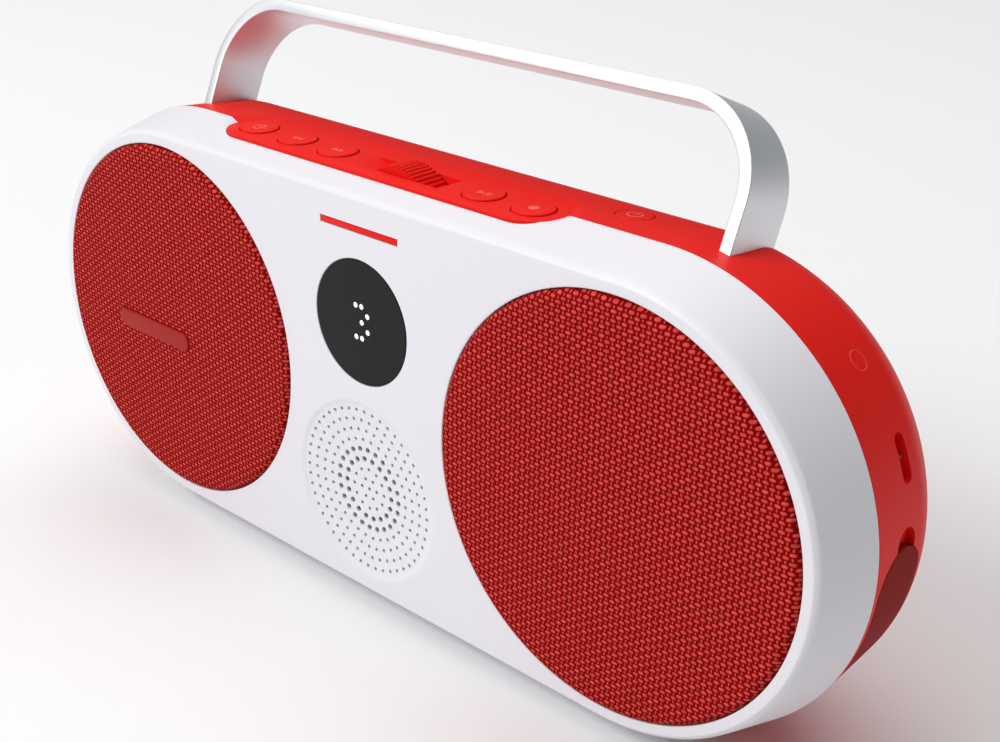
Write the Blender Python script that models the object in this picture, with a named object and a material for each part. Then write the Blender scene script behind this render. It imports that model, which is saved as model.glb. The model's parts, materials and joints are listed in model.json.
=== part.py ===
"""A portable two-woofer boombox: white front housing, red rear housing, bent strip handle.

Body coordinates: x runs to the right seen from the front, y runs from the front face back,
and z runs up from the body's mid-height. The empty "stand" sets them over the ground.
"""

import math

import bmesh
import bpy
from mathutils import Vector

MM = 0.001

# Body
DRIVER_SPACING = 207.7 * MM
BODY_HEIGHT = 152.3 * MM
BODY_DEPTH = 85.0 * MM
SEAM_DEPTH = 21.5 * MM
FRONT_TAPER = 4.65 * MM
EDGE_DEPTH = 1.5 * MM
EDGE_DROP = 1.43 * MM
WALL = 2.6 * MM
PLATE = 8.0 * MM
SKIN = 3.0 * MM
FIT = 0.3 * MM
SHELL_DRAFT = 0.09
BACK_ROUND = 39.0 * MM
BACK_HALF = 20.0 * MM
ROUND_POWER = 1.6
ARC_STEPS = 16

# Speaker covers
GRILLE_RIM = 3.6 * MM
GRILLE_DEPTH = 4.2 * MM
FABRIC = 0.8 * MM
FABRIC_PROUD = 1.4 * MM
FABRIC_ROUND = 2.6 * MM
FRAME_RING = 6.5 * MM
FRAME_THICKNESS = 2.6 * MM
FRAME_BAR = 5.0 * MM
BADGE_LENGTH = 43.0 * MM
BADGE_HEIGHT = 7.0 * MM
BADGE_THICKNESS = 0.7 * MM
BADGE_SHIFT = (-10.9 * MM, -5.6 * MM)

# Display, status strip and perforated field
DISPLAY_RADIUS = 21.38 * MM
DISPLAY_DROP = 41.1 * MM
LENS_THICKNESS = 1.7 * MM
LENS_LEDGE = 2.0 * MM
BOARD = 1.6 * MM
LED_SIZE = (12.0 * MM, 20.0 * MM)
STRIP_LENGTH = 35.6 * MM
STRIP_HEIGHT = 1.9 * MM
STRIP_DROP = 9.5 * MM
STRIP_DEPTH = 0.6 * MM
FIELD_RADIUS = 32.28 * MM
FIELD_MARGIN = 5.5 * MM
FIELD_DISH = 1.0 * MM
DISH_FLAT = 0.8
HOLE_PITCH = 4.15 * MM
HOLE_RADIUS = 0.95 * MM
HOLE_RINGS = (3, 4)

# Drivers
WELL_LEDGE = 11.0 * MM
BASKET_LAP = 3.1 * MM
BASKET_WALL = 1.6 * MM
BASKET_DEPTH = 31.0 * MM
BASKET_BACK_RADIUS = 34.0 * MM
SURROUND_WIDTH = 6.4 * MM
SURROUND_ROLL = 2.2 * MM
SURROUND_LIP = 1.0 * MM
CONE_PAPER = 0.9 * MM
CONE_DEPTH = 17.5 * MM
COIL_RADIUS = 12.0 * MM
COIL_LENGTH = 9.0 * MM
COIL_GAP = 1.2 * MM
CAP_DROP = 2.0 * MM
MAGNET_RADIUS = 30.0 * MM
MAGNET_THICKNESS = 16.0 * MM
MAGNET_CHAMFER = 1.0 * MM
TWEETER_FLANGE = 6.0 * MM
TWEETER_DEPTH = 12.0 * MM
DOME_GAP = 1.2 * MM
DOME_RISE = 0.4

# Control pad on the top
PAD_RECESS = 1.6 * MM
PAD_THICKNESS = 4.0 * MM
PAD_RADIUS = 11.5 * MM
PAD_BACKSET = 0.5 * MM
BUTTON_RADIUS = 6.8 * MM
BUTTON_PROUD = 0.45 * MM
BUTTON_PITCH = 20.6 * MM
BUTTON_START = 33.6 * MM
BUTTON_FLANGE = 1.0 * MM
BUTTON_TRAVEL = 0.8 * MM
BUTTON_STEM = 2.0 * MM
BUTTON_CHAMFER = (0.8 * MM, 0.4 * MM)
LEFT_BUTTONS = ("mode_button", "previous_button", "next_button")
RIGHT_BUTTONS = ("play_button", "favourite_button")
POWER_RADIUS = 5.8 * MM
POWER_PLACE = (79.0 * MM, 38.7 * MM)
SWITCH_SIDE = 5.0 * MM
SWITCH_HEIGHT = 1.2 * MM
CONTROL_MARGIN = 2.0 * MM
CONTROL_GAP = 1.2 * MM
DIAL_RADIUS = 17.0 * MM
DIAL_WIDTH = 10.0 * MM
DIAL_PROUD = 2.8 * MM
DIAL_RIDGES = 30
DIAL_RIDGE = 0.5 * MM
DIAL_RAMP = 5.8 * MM
DIAL_RAMP_DROP = 2.6 * MM
AXLE_RADIUS = 1.5 * MM
AXLE_TAIL = 3.0 * MM
ENCODER_WALL = 1.0 * MM

# Handle
HANDLE_LEAN = math.radians(22.93)
HANDLE_PIVOT_DEPTH = 40.0 * MM
HANDLE_RISE = 38.8 * MM
HANDLE_WIDTH = 20.9 * MM
HANDLE_SHIFT = 2.38 * MM
HANDLE_THICKNESS = 4.15 * MM
HANDLE_RADIUS = 28.2 * MM
HANDLE_OUTSET = 14.9 * MM
HANDLE_TAIL = 20.0 * MM
CLAMP_SIZE = (9.0 * MM, 20.0 * MM, 11.0 * MM)

# Right end: strap slot and port door
STRAP_ANGLE = math.radians(21.9)
STRAP_DEPTH_PLACE = 40.2 * MM
STRAP_LENGTH = 14.5 * MM
STRAP_WIDTH = 4.8 * MM
STRAP_POCKET = 3.8 * MM
STRAP_PIN_RADIUS = 0.6 * MM
STRAP_PIN_DROP = 1.0 * MM
DOOR_ANGLE = math.radians(-15.4)
DOOR_PLACE = 35.5 * MM
DOOR_WIDTH = 23.6 * MM
DOOR_LENGTH = 47.0 * MM
DOOR_THICKNESS = 2.0 * MM
NOTCH_RADIUS = 5.2 * MM
NOTCH_SHIFT = 2.0 * MM
LINER = 4.4 * MM
LINER_WALL = 1.2 * MM
LINER_REACH = 17.6 * MM
USB_DROP = -8.0 * MM
USB_HALF = 2.9 * MM
USB_RADIUS = 1.6 * MM
USB_SHELL = 0.3 * MM
USB_MOUTH = 6.0 * MM
AUX_DROP = -27.0 * MM
AUX_RADIUS = 3.9 * MM
AUX_BORE = 1.8 * MM
AUX_MOUTH = 14.0 * MM
PORT_BOARD_INSET = 26.5 * MM
PORT_BOARD_MARGINS = (2.0 * MM, 6.0 * MM, 8.0 * MM)

# Feet, screws, electronics
FOOT_DROP = 2.35 * MM
FOOT_PLACE = 80.0 * MM
FOOT_WIDTH = 24.0 * MM
FOOT_START = 24.5 * MM
FOOT_LENGTH = 36.0 * MM
FOOT_TOP_DROP = 16.0 * MM
SCREW_RADIUS = 1.3 * MM
SCREW_HEAD = 2.7 * MM
SCREW_HEAD_THICKNESS = 1.7 * MM
SCREW_LENGTH = 12.0 * MM
SCREW_TIP = 2.0 * MM
BOSS_RADIUS = 3.6 * MM
GASKET_WIDTH = 1.5 * MM
GASKET_DEPTH = 3.2 * MM
BATTERY_SIZE = (76.0 * MM, 24.0 * MM, 38.0 * MM)
BATTERY_GAP = 4.0 * MM
BATTERY_BASE = -48.5 * MM
BOARD_SIZE = (96.0 * MM, 76.0 * MM)
BOARD_GAP = 3.0 * MM

# What follows from them
SEAM_HALF = BODY_HEIGHT / 2
ARC_X = DRIVER_SPACING / 2
BODY_LENGTH = DRIVER_SPACING + BODY_HEIGHT
FRONT_HALF = SEAM_HALF - FRONT_TAPER
FACE_HALF = FRONT_HALF - EDGE_DROP
SHOULDER_DEPTH = BODY_DEPTH - BACK_ROUND
REAR_START = SEAM_DEPTH + FIT
GRILLE_RADIUS = FACE_HALF - GRILLE_RIM
WELL_RADIUS = GRILLE_RADIUS - WELL_LEDGE
BASKET_START = PLATE + FIT
BASKET_INNER = WELL_RADIUS - BASKET_LAP
BASKET_END = BASKET_START + BASKET_DEPTH
SCREW_RING = WELL_RADIUS + BASKET_LAP + 2 * FIT + BOSS_RADIUS
DISPLAY_Z = FACE_HALF - DISPLAY_DROP
FIELD_Z = FIELD_MARGIN + FIELD_RADIUS - FACE_HALF
TWEETER_FLANGE_RADIUS = FIELD_RADIUS - SKIN
PAD_TOP = SEAM_HALF - PAD_RECESS
PAD_BOTTOM = PAD_TOP - PAD_THICKNESS
PAD_Y = SEAM_DEPTH + PAD_BACKSET
PAD_LEFT = -BUTTON_START - (len(LEFT_BUTTONS) - 1) * BUTTON_PITCH
PAD_RIGHT = BUTTON_START + (len(RIGHT_BUTTONS) - 1) * BUTTON_PITCH
FLANGE_TOP = PAD_BOTTOM - FIT
STEM_END = FLANGE_TOP - BUTTON_FLANGE - 2 * FIT
SWITCH_TOP = STEM_END - BUTTON_TRAVEL - FIT
BOARD_TOP = SWITCH_TOP - SWITCH_HEIGHT - FIT
DIAL_Z = PAD_TOP + DIAL_PROUD - DIAL_RADIUS
STAND_DEPTH = (BODY_DEPTH - FABRIC_PROUD - FIT - BADGE_THICKNESS) / 2
SIDES = {"left": -1, "right": 1}

WHITE = ((0.86, 0.86, 0.88), 0.45, 0.0)
RED = ((0.80, 0.035, 0.025), 0.42, 0.0)
CLOTH = ((0.45, 0.015, 0.02), 0.9, 0.0)
DARK = ((0.025, 0.026, 0.028), 0.3, 0.0)
RUBBER = ((0.32, 0.012, 0.012), 0.8, 0.0)
BLACK_RUBBER = ((0.03, 0.03, 0.03), 0.85, 0.0)
ALUMINIUM = ((0.80, 0.81, 0.83), 0.35, 1.0)
STEEL = ((0.55, 0.56, 0.58), 0.35, 1.0)
FERRITE = ((0.09, 0.09, 0.095), 0.6, 0.0)
PAPER = ((0.06, 0.06, 0.065), 0.8, 0.0)
CIRCUIT = ((0.02, 0.16, 0.07), 0.5, 0.0)
CELL = ((0.05, 0.14, 0.42), 0.4, 0.0)
PLASTIC = ((0.05, 0.05, 0.055), 0.55, 0.0)


def clear_scene():
    """Removes whatever the scene starts with."""
    for old in list(bpy.data.objects):
        bpy.data.objects.remove(old)


def empty(name, location, parent=None, rotation=(0.0, 0.0, 0.0)):
    """A guide that carries other objects."""
    guide = bpy.data.objects.new(name, None)
    bpy.context.scene.collection.objects.link(guide)
    guide.parent = parent
    guide.location = location
    guide.rotation_euler = rotation
    return guide


def material(name, look):
    """A Principled material of one colour, roughness and metallic value."""
    colour, roughness, metallic = look
    made = bpy.data.materials.new(name)
    made.use_nodes = True
    shader = made.node_tree.nodes["Principled BSDF"]
    shader.inputs["Base Color"].default_value = (*colour, 1.0)
    shader.inputs["Roughness"].default_value = roughness
    shader.inputs["Metallic"].default_value = metallic
    made.diffuse_color = (*colour, 1.0)
    return made


def as_object(name, bm, parent, location=(0.0, 0.0, 0.0), rotation=(0.0, 0.0, 0.0)):
    """Turns a bmesh into a linked, smooth-shaded object."""
    bmesh.ops.recalc_face_normals(bm, faces=bm.faces)
    mesh = bpy.data.meshes.new(name)
    bm.to_mesh(mesh)
    bm.free()
    mesh.shade_smooth()
    mesh.set_sharp_from_angle(angle=math.radians(30))
    made = bpy.data.objects.new(name, mesh)
    bpy.context.scene.collection.objects.link(made)
    made.parent = parent
    made.location = location
    made.rotation_euler = rotation
    return made


def piece(name, bm, look, parent, location=(0.0, 0.0, 0.0), rotation=(0.0, 0.0, 0.0)):
    """A piece of the boombox, with a material of its own."""
    made = as_object(name, bm, parent, location, rotation)
    made.data.materials.append(material(name, look))
    return made


def helper(name, bm, parent, location=(0.0, 0.0, 0.0), rotation=(0.0, 0.0, 0.0)):
    """A shape that only cuts, joins or trims others."""
    made = as_object(name, bm, parent, location, rotation)
    made.hide_render = True
    made.display_type = "WIRE"
    return made


def combine(target, operation, other):
    """Cuts, joins or intersects target with a helper."""
    step = target.modifiers.new(f"{operation.lower()}_{other.name}", "BOOLEAN")
    step.operation = operation
    step.solver = "EXACT"
    step.object = other
    return target


def arc(centre, radius, start, end, steps):
    """Points along an arc, with both ends, angles in degrees."""
    turns = [math.radians(start + (end - start) * i / steps) for i in range(steps + 1)]
    return [(centre[0] + radius * math.cos(a), centre[1] + radius * math.sin(a)) for a in turns]


def circle(centre, radius, steps):
    """A closed ring of points."""
    return arc(centre, radius, 0, 360, steps)[:-1]


def stadium(left, right, radius, steps, level=0.0):
    """A long outline with round ends, whose arc centres are at left and right."""
    return arc((right, level), radius, -90, 90, steps) + arc((left, level), radius, 90, 270, steps)


def rectangle(low, high):
    """A rectangle from its low corner to its high corner."""
    return [(low[0], low[1]), (high[0], low[1]), (high[0], high[1]), (low[0], high[1])]


def upright(outline):
    """The same outline standing up: its two coordinates change places."""
    return [(b, a) for a, b in reversed(outline)]


def prism(bm, outline, low, high, along):
    """Extrudes an outline along one axis, from low to high."""
    lift = {
        "X": lambda a, b, h: (h, a, b),
        "Y": lambda a, b, h: (a, h, b),
        "Z": lambda a, b, h: (a, b, h),
    }[along]
    face = bm.faces.new([bm.verts.new(lift(a, b, low)) for a, b in outline])
    made = bmesh.ops.extrude_face_region(bm, geom=[face])["geom"]
    moved = [item for item in made if isinstance(item, bmesh.types.BMVert)]
    bmesh.ops.translate(bm, verts=moved, vec=lift(0.0, 0.0, high - low))
    return bm


def block(low, high):
    """A box from its low corner to its high corner."""
    return prism(bmesh.new(), rectangle(low[:2], high[:2]), low[2], high[2], "Z")


def turned(profile, steps, along="Y"):
    """Spins (radius, position) points about an axis. A profile that starts on the axis ends on it."""
    bm = bmesh.new()
    on_axis = profile[0][0] == 0.0
    places = [(r, h, 0.0) if along == "Y" else (r, 0.0, h) for r, h in profile]
    verts = [bm.verts.new(place) for place in places]
    ends = verts[1:] if on_axis else verts[1:] + verts[:1]
    edges = [bm.edges.new(pair) for pair in zip(verts, ends)]
    axis = (0.0, 1.0, 0.0) if along == "Y" else (0.0, 0.0, 1.0)
    bmesh.ops.spin(
        bm, geom=verts + edges, cent=(0, 0, 0), axis=axis, angle=math.tau, steps=steps,
        use_merge=True, use_duplicate=False,
    )
    bmesh.ops.remove_doubles(bm, verts=bm.verts, dist=0.001 * MM)
    return bm


def loft(rings, hoop=False):
    """Skins a closed body over rings of equally many points, capped at both ends or closed on itself."""
    bm = bmesh.new()
    loops = [[bm.verts.new(place) for place in ring] for ring in rings]
    follows = loops[1:] + loops[:1] if hoop else loops[1:]
    for first, second in zip(loops, follows):
        for i in range(len(first)):
            bm.faces.new((first[i - 1], first[i], second[i], second[i - 1]))
    if not hoop:
        bm.faces.new(loops[0])
        bm.faces.new(loops[-1])
    return bm


def body_ring(depth, half):
    """The body's outline at one depth."""
    return [(x, depth, z) for x, z in stadium(-ARC_X, ARC_X, half, ARC_STEPS)]


def front_half(depth):
    """Half-height of the front housing's outer wall."""
    return FRONT_HALF + FRONT_TAPER * (depth - EDGE_DEPTH) / (SEAM_DEPTH - EDGE_DEPTH)


def shell_profile(steps=7):
    """(depth, half-height) of the rear housing's outside, from the seam to the flat back."""
    shoulder = SEAM_HALF - SHELL_DRAFT * (SHOULDER_DEPTH - SEAM_DEPTH)
    points = [(REAR_START, SEAM_HALF - SHELL_DRAFT * FIT)]
    for i in range(steps + 1):
        turn = math.pi / 2 * i / steps
        depth = SHOULDER_DEPTH + BACK_ROUND * math.sin(turn) ** (2 / ROUND_POWER)
        points.append((depth, BACK_HALF + (shoulder - BACK_HALF) * math.cos(turn) ** (2 / ROUND_POWER)))
    return points


def offset_profile(points, distance):
    """The same profile moved outwards along its normals."""
    moved = []
    for i, (depth, half) in enumerate(points):
        before = points[max(i - 1, 0)]
        after = points[min(i + 1, len(points) - 1)]
        run = Vector((after[0] - before[0], after[1] - before[1])).normalized()
        normal = Vector((-run.y, run.x))
        if i == len(points) - 1:
            normal = Vector((1.0, 0.0))
        moved.append((depth + normal.x * distance, half + normal.y * distance))
    return moved


def shell_body(distance):
    """The rear housing's outer volume, grown by distance and carried forward past the seam."""
    points = offset_profile(shell_profile(), distance)
    points = [(0.0, points[0][1])] + points
    return loft([body_ring(depth, half) for depth, half in points])


def shell_radius(depth):
    """Outer half-height of the rear housing's drafted wall."""
    return SEAM_HALF - SHELL_DRAFT * (depth - SEAM_DEPTH)


def wall_x(z, depth, inset):
    """Where the right end wall, moved in by inset, crosses height z."""
    radius = shell_radius(depth) - inset
    return ARC_X + math.sqrt(radius * radius - z * z)


def pad_outline(grow=0.0, steps=12):
    """The control pad's outline seen from above."""
    return stadium(PAD_LEFT, PAD_RIGHT, PAD_RADIUS + grow, steps, PAD_Y)


def button_places():
    """Name and (x, y) of each round button on the pad."""
    places = {}
    for i, name in enumerate(reversed(LEFT_BUTTONS)):
        places[name] = (-BUTTON_START - i * BUTTON_PITCH, PAD_Y)
    for i, name in enumerate(RIGHT_BUTTONS):
        places[name] = (BUTTON_START + i * BUTTON_PITCH, PAD_Y)
    return places


def screw_places():
    """(x, z) of the case screws, two round each woofer."""
    places = []
    for side in SIDES.values():
        for degrees in (130, -50):
            turn = math.radians(degrees)
            places.append((side * (ARC_X + SCREW_RING * math.cos(turn)), SCREW_RING * math.sin(turn)))
    return places


def build_front_housing(stand):
    """White cup with two speaker wells, a display window, a strip recess and a perforated field."""
    rings = [
        body_ring(PLATE, front_half(PLATE) - WALL),
        body_ring(SEAM_DEPTH, SEAM_HALF - WALL),
        body_ring(SEAM_DEPTH, SEAM_HALF),
        body_ring(EDGE_DEPTH, FRONT_HALF),
        body_ring(0.0, FACE_HALF),
    ]
    housing = piece("front_housing", loft(rings), WHITE, stand)
    wells = bmesh.new()
    for side in SIDES.values():
        prism(wells, circle((side * ARC_X, 0.0), GRILLE_RADIUS + FIT, 48), -PLATE, GRILLE_DEPTH, "Y")
    throats = bmesh.new()
    for side in SIDES.values():
        prism(throats, circle((side * ARC_X, 0.0), WELL_RADIUS, 40), 0.0, 2 * PLATE, "Y")
    pockets = bmesh.new()
    for x, z in screw_places():
        head = circle((x, z), SCREW_HEAD + FIT, 12)
        prism(pockets, head, 0.0, GRILLE_DEPTH + SCREW_HEAD_THICKNESS + FIT, "Y")
    bores = bmesh.new()
    for x, z in screw_places():
        prism(bores, circle((x, z), SCREW_RADIUS + FIT, 12), 0.0, 2 * PLATE, "Y")
    window = bmesh.new()
    prism(window, circle((0.0, DISPLAY_Z), DISPLAY_RADIUS + FIT / 2, 40), -PLATE, LENS_THICKNESS + FIT, "Y")
    sight = bmesh.new()
    prism(sight, circle((0.0, DISPLAY_Z), DISPLAY_RADIUS - LENS_LEDGE, 32), 0.0, 2 * PLATE, "Y")
    strip = bmesh.new()
    low = (-STRIP_LENGTH / 2 - FIT, FACE_HALF - STRIP_DROP - STRIP_HEIGHT / 2 - FIT)
    high = (-low[0], low[1] + STRIP_HEIGHT + 2 * FIT)
    prism(strip, rectangle(low, high), -PLATE, STRIP_DEPTH + FIT, "Y")
    dish = turned([(0.0, FIELD_DISH), (FIELD_RADIUS * DISH_FLAT, FIELD_DISH), (FIELD_RADIUS, 0.0),
                   (FIELD_RADIUS, -FIELD_DISH), (0.0, -FIELD_DISH)], 40)
    holes = bmesh.new()
    for ring in HOLE_RINGS:
        for i in range(6 * ring):
            turn = math.tau * i / (6 * ring)
            x = ring * HOLE_PITCH * math.cos(turn)
            z = FIELD_Z + ring * HOLE_PITCH * math.sin(turn)
            prism(holes, circle((x, z), HOLE_RADIUS, 6), 0.0, PLATE, "Y")
    board_pocket = circle((0.0, DISPLAY_Z), DISPLAY_RADIUS + FIT, 40)
    board_pocket = prism(bmesh.new(), board_pocket, SKIN, 2 * PLATE, "Y")
    tweeter_pocket = circle((0.0, FIELD_Z), TWEETER_FLANGE_RADIUS + FIT, 40)
    tweeter_pocket = prism(bmesh.new(), tweeter_pocket, SKIN, 2 * PLATE, "Y")
    notch = prism(bmesh.new(), pad_outline(FIT), PAD_BOTTOM - FIT, SEAM_HALF + PLATE, "Z")
    for name, shape in (
        ("pad_notch", notch), ("speaker_wells", wells), ("speaker_throats", throats),
        ("screw_pockets", pockets), ("screw_bores", bores), ("board_pocket", board_pocket),
        ("tweeter_pocket", tweeter_pocket),
        ("display_window", window), ("display_sight", sight), ("strip_recess", strip),
        ("perforations", holes),
    ):
        combine(housing, "DIFFERENCE", helper(name, shape, stand))
    dish_cutter = helper("field_dish", dish, stand, (0.0, 0.0, FIELD_Z))
    combine(housing, "DIFFERENCE", dish_cutter)
    return housing


def door_outline(grow):
    """The port door's outline, standing up, as (y, z) points about its centre."""
    straight = (DOOR_LENGTH - DOOR_WIDTH) / 2
    return upright(stadium(-straight, straight, DOOR_WIDTH / 2 + grow, 12, DOOR_PLACE))


def usb_outline(radius):
    """The USB-C socket's outline with a given end radius, standing up, as (y, z) points."""
    return upright(stadium(USB_DROP - USB_HALF, USB_DROP + USB_HALF, radius, 6, DOOR_PLACE))


def build_rear_housing(stand, lean):
    """Red domed shell with the control pad, screw bosses, handle slots, strap slot and port recess."""
    outside = shell_profile()
    inside = offset_profile(outside, -WALL)
    inside[0] = (REAR_START, inside[0][1])
    rings = [body_ring(depth, half) for depth, half in reversed(inside)]
    rings += [body_ring(depth, half) for depth, half in outside]
    housing = piece("rear_housing", loft(rings), RED, stand)

    bosses = bmesh.new()
    for x, z in screw_places():
        prism(bosses, circle((x, z), BOSS_RADIUS, 12), BASKET_START, BODY_DEPTH, "Y")
    bosses = helper("screw_bosses", bosses, stand)
    combine(bosses, "INTERSECT", helper("boss_limit", shell_body(-WALL / 2), stand))
    combine(housing, "UNION", bosses)

    end_axis = empty("end_axis", (ARC_X, 0.0, 0.0), stand, (0.0, -DOOR_ANGLE, 0.0))
    reach = shell_radius(DOOR_PLACE)
    liner = prism(bmesh.new(), door_outline(LINER_WALL), reach - LINER_REACH, reach + WALL, "X")
    liner = helper("port_liner", liner, end_axis)
    combine(liner, "INTERSECT", helper("liner_outside", shell_body(-WALL / 2), stand))
    combine(liner, "DIFFERENCE", helper("liner_inside", shell_body(-WALL - LINER), stand))
    combine(housing, "UNION", liner)

    strap_axis = empty("strap_axis", (ARC_X, 0.0, 0.0), stand, (0.0, -STRAP_ANGLE, 0.0))
    strap_reach = shell_radius(STRAP_DEPTH_PLACE)
    straight = (STRAP_LENGTH - STRAP_WIDTH) / 2
    well = stadium(-straight, straight, STRAP_WIDTH / 2 + WALL, 8, STRAP_DEPTH_PLACE)
    cup = prism(bmesh.new(), upright(well), strap_reach - STRAP_POCKET - WALL, strap_reach - WALL / 2, "X")
    combine(housing, "UNION", helper("strap_cup", cup, strap_axis))

    pad = prism(bmesh.new(), pad_outline(), PAD_BOTTOM, PAD_TOP, "Z")
    combine(housing, "UNION", helper("control_pad", pad, stand))
    above = prism(bmesh.new(), pad_outline(), PAD_TOP, SEAM_HALF + PLATE, "Z")
    combine(housing, "DIFFERENCE", helper("pad_recess", above, stand))

    wells = bmesh.new()
    for x, y in button_places().values():
        prism(wells, circle((x, y), BUTTON_RADIUS + FIT, 16), PAD_BOTTOM - PLATE, SEAM_HALF, "Z")
    prism(wells, circle(POWER_PLACE, POWER_RADIUS + FIT, 16), PAD_BOTTOM - PLATE, SEAM_HALF + PLATE, "Z")
    combine(housing, "DIFFERENCE", helper("button_wells", wells, stand))
    combine(housing, "DIFFERENCE", helper("dial_slot", dial_slot(), stand))

    slots = bmesh.new()
    for side in SIDES.values():
        far = side * (ARC_X + HANDLE_OUTSET)
        near = far - side * HANDLE_THICKNESS
        low = (min(far, near) - FIT, HANDLE_SHIFT - HANDLE_WIDTH / 2 - FIT)
        high = (max(far, near) + FIT, HANDLE_SHIFT + HANDLE_WIDTH / 2 + FIT)
        prism(slots, rectangle(low, high), -HANDLE_TAIL, HANDLE_TAIL, "Z")
    combine(housing, "DIFFERENCE", helper("handle_slots", slots, lean))

    recess = prism(bmesh.new(), door_outline(FIT), reach - LINER_REACH, reach + PLATE, "X")
    recess = helper("door_recess", recess, end_axis)
    floor = helper("recess_floor", shell_body(-DOOR_THICKNESS - FIT), stand)
    combine(recess, "DIFFERENCE", floor)
    combine(housing, "DIFFERENCE", recess)
    thumb = circle((DOOR_PLACE + NOTCH_SHIFT, DOOR_LENGTH / 2), NOTCH_RADIUS, 16)
    notch = prism(bmesh.new(), thumb, reach - LINER_REACH, reach + PLATE, "X")
    notch = helper("finger_notch", notch, end_axis)
    combine(notch, "DIFFERENCE", floor)
    combine(housing, "DIFFERENCE", notch)
    pocket = stadium(-straight, straight, STRAP_WIDTH / 2, 8, STRAP_DEPTH_PLACE)
    pocket = prism(bmesh.new(), upright(pocket), strap_reach - STRAP_POCKET, strap_reach + PLATE, "X")
    combine(housing, "DIFFERENCE", helper("strap_pocket", pocket, strap_axis))

    sockets = bmesh.new()
    prism(sockets, usb_outline(USB_RADIUS + FIT), ARC_X, ARC_X + SEAM_HALF, "X")
    prism(sockets, circle((DOOR_PLACE, AUX_DROP), AUX_RADIUS + FIT, 16), ARC_X, ARC_X + SEAM_HALF, "X")
    combine(housing, "DIFFERENCE", helper("socket_holes", sockets, stand))
    threads = bmesh.new()
    for x, z in screw_places():
        prism(threads, circle((x, z), SCREW_RADIUS + FIT, 12), 0.0, PLATE + SCREW_LENGTH, "Y")
    combine(housing, "DIFFERENCE", helper("boss_bores", threads, stand))
    build_port_door(end_axis, stand, reach)
    pin = circle((strap_reach - STRAP_PIN_RADIUS - STRAP_PIN_DROP, 0.0), STRAP_PIN_RADIUS, 10)
    half = STRAP_WIDTH / 2 - FIT
    pin = prism(bmesh.new(), pin, STRAP_DEPTH_PLACE - half, STRAP_DEPTH_PLACE + half, "Y")
    piece("strap_pin", pin, STEEL, strap_axis)
    return housing


def dial_slot():
    """The dial's opening through the pad, with a ramp down to it at each end."""
    half = DIAL_WIDTH / 2 + 2 * FIT
    depth = DIAL_RADIUS - DIAL_PROUD + DIAL_RAMP_DROP
    room = DIAL_RADIUS + 2 * FIT
    floor = PAD_TOP - DIAL_RAMP_DROP
    reach = math.sqrt(room ** 2 - (floor - DIAL_Z) ** 2)
    under = math.sqrt(room ** 2 - (PAD_BOTTOM - DIAL_Z) ** 2)
    right = [(reach + DIAL_RAMP, PAD_TOP + depth), (reach + DIAL_RAMP, PAD_TOP), (reach, floor),
             (under, PAD_BOTTOM), (under, PAD_BOTTOM - PLATE)]
    outline = right + [(-x, z) for x, z in reversed(right)]
    return prism(bmesh.new(), outline, PAD_Y - half, PAD_Y + half, "Y")


def build_port_door(end_axis, stand, reach):
    """Rubber flap that follows the end wall, with its origin on its hinge line at its lower end."""
    drop = -DOOR_LENGTH / 2
    hinge_x = math.sqrt(reach * reach - drop * drop)
    hinge = empty("door_hinge", (hinge_x, DOOR_PLACE, drop), end_axis)
    outline = [(y - DOOR_PLACE, z - drop) for y, z in door_outline(0.0)]
    flap = prism(bmesh.new(), outline, -LINER_REACH, PLATE, "X")
    door = piece("port_door", flap, RUBBER, hinge)
    combine(door, "INTERSECT", helper("door_outside", shell_body(0.0), stand))
    combine(door, "DIFFERENCE", helper("door_inside", shell_body(-DOOR_THICKNESS), stand))
    return door


def build_grille(stand, word, side):
    """One speaker cover: a fabric cup stretched over a plastic ring with crossed bars."""
    place = (side * ARC_X, 0.0, 0.0)
    outer = GRILLE_RADIUS
    skin = [(0.0, -FABRIC_PROUD), (outer - FABRIC_ROUND, -FABRIC_PROUD)]
    skin += [(outer - FABRIC_ROUND + a, b - FABRIC_PROUD + FABRIC_ROUND)
             for a, b in arc((0.0, 0.0), FABRIC_ROUND, -60, 0, 2)]
    skin += [(outer, GRILLE_DEPTH - FIT), (outer - FABRIC, GRILLE_DEPTH - FIT)]
    inner = FABRIC_ROUND - FABRIC
    skin += [(outer - FABRIC_ROUND + a, b - FABRIC_PROUD + FABRIC_ROUND)
             for a, b in arc((0.0, 0.0), inner, 0, -60, 2)]
    skin += [(outer - FABRIC_ROUND, FABRIC - FABRIC_PROUD), (0.0, FABRIC - FABRIC_PROUD)]
    piece(f"fabric_cover_{word}", turned(skin, 36), CLOTH, stand, place)
    rim = outer - FABRIC - FIT
    back = GRILLE_DEPTH - FIT
    front = back - FRAME_THICKNESS
    hoop = turned([(rim - FRAME_RING, front), (rim, front), (rim, back), (rim - FRAME_RING, back)], 36)
    frame = piece(f"grille_frame_{word}", hoop, PLASTIC, stand, place)
    length = rim - FRAME_RING / 2
    across = FRAME_BAR / 2
    plus = [
        (across, -across), (length, -across), (length, across), (across, across),
        (across, length), (-across, length), (-across, across), (-length, across),
        (-length, -across), (-across, -across), (-across, -length), (across, -length),
    ]
    bars = prism(bmesh.new(), plus, front + 2 * FIT, back, "Y")
    combine(frame, "UNION", helper(f"grille_bars_{word}", bars, stand, place))


def build_badge(stand):
    """A plain raised bar on the left cover, with nothing written on it."""
    straight = (BADGE_LENGTH - BADGE_HEIGHT) / 2
    back = -FABRIC_PROUD - FIT
    outline = stadium(-straight, straight, BADGE_HEIGHT / 2, 8)
    bar = prism(bmesh.new(), outline, back - BADGE_THICKNESS, back, "Y")
    piece("badge", bar, RED, stand, (-ARC_X + BADGE_SHIFT[0], 0.0, BADGE_SHIFT[1]))


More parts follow.
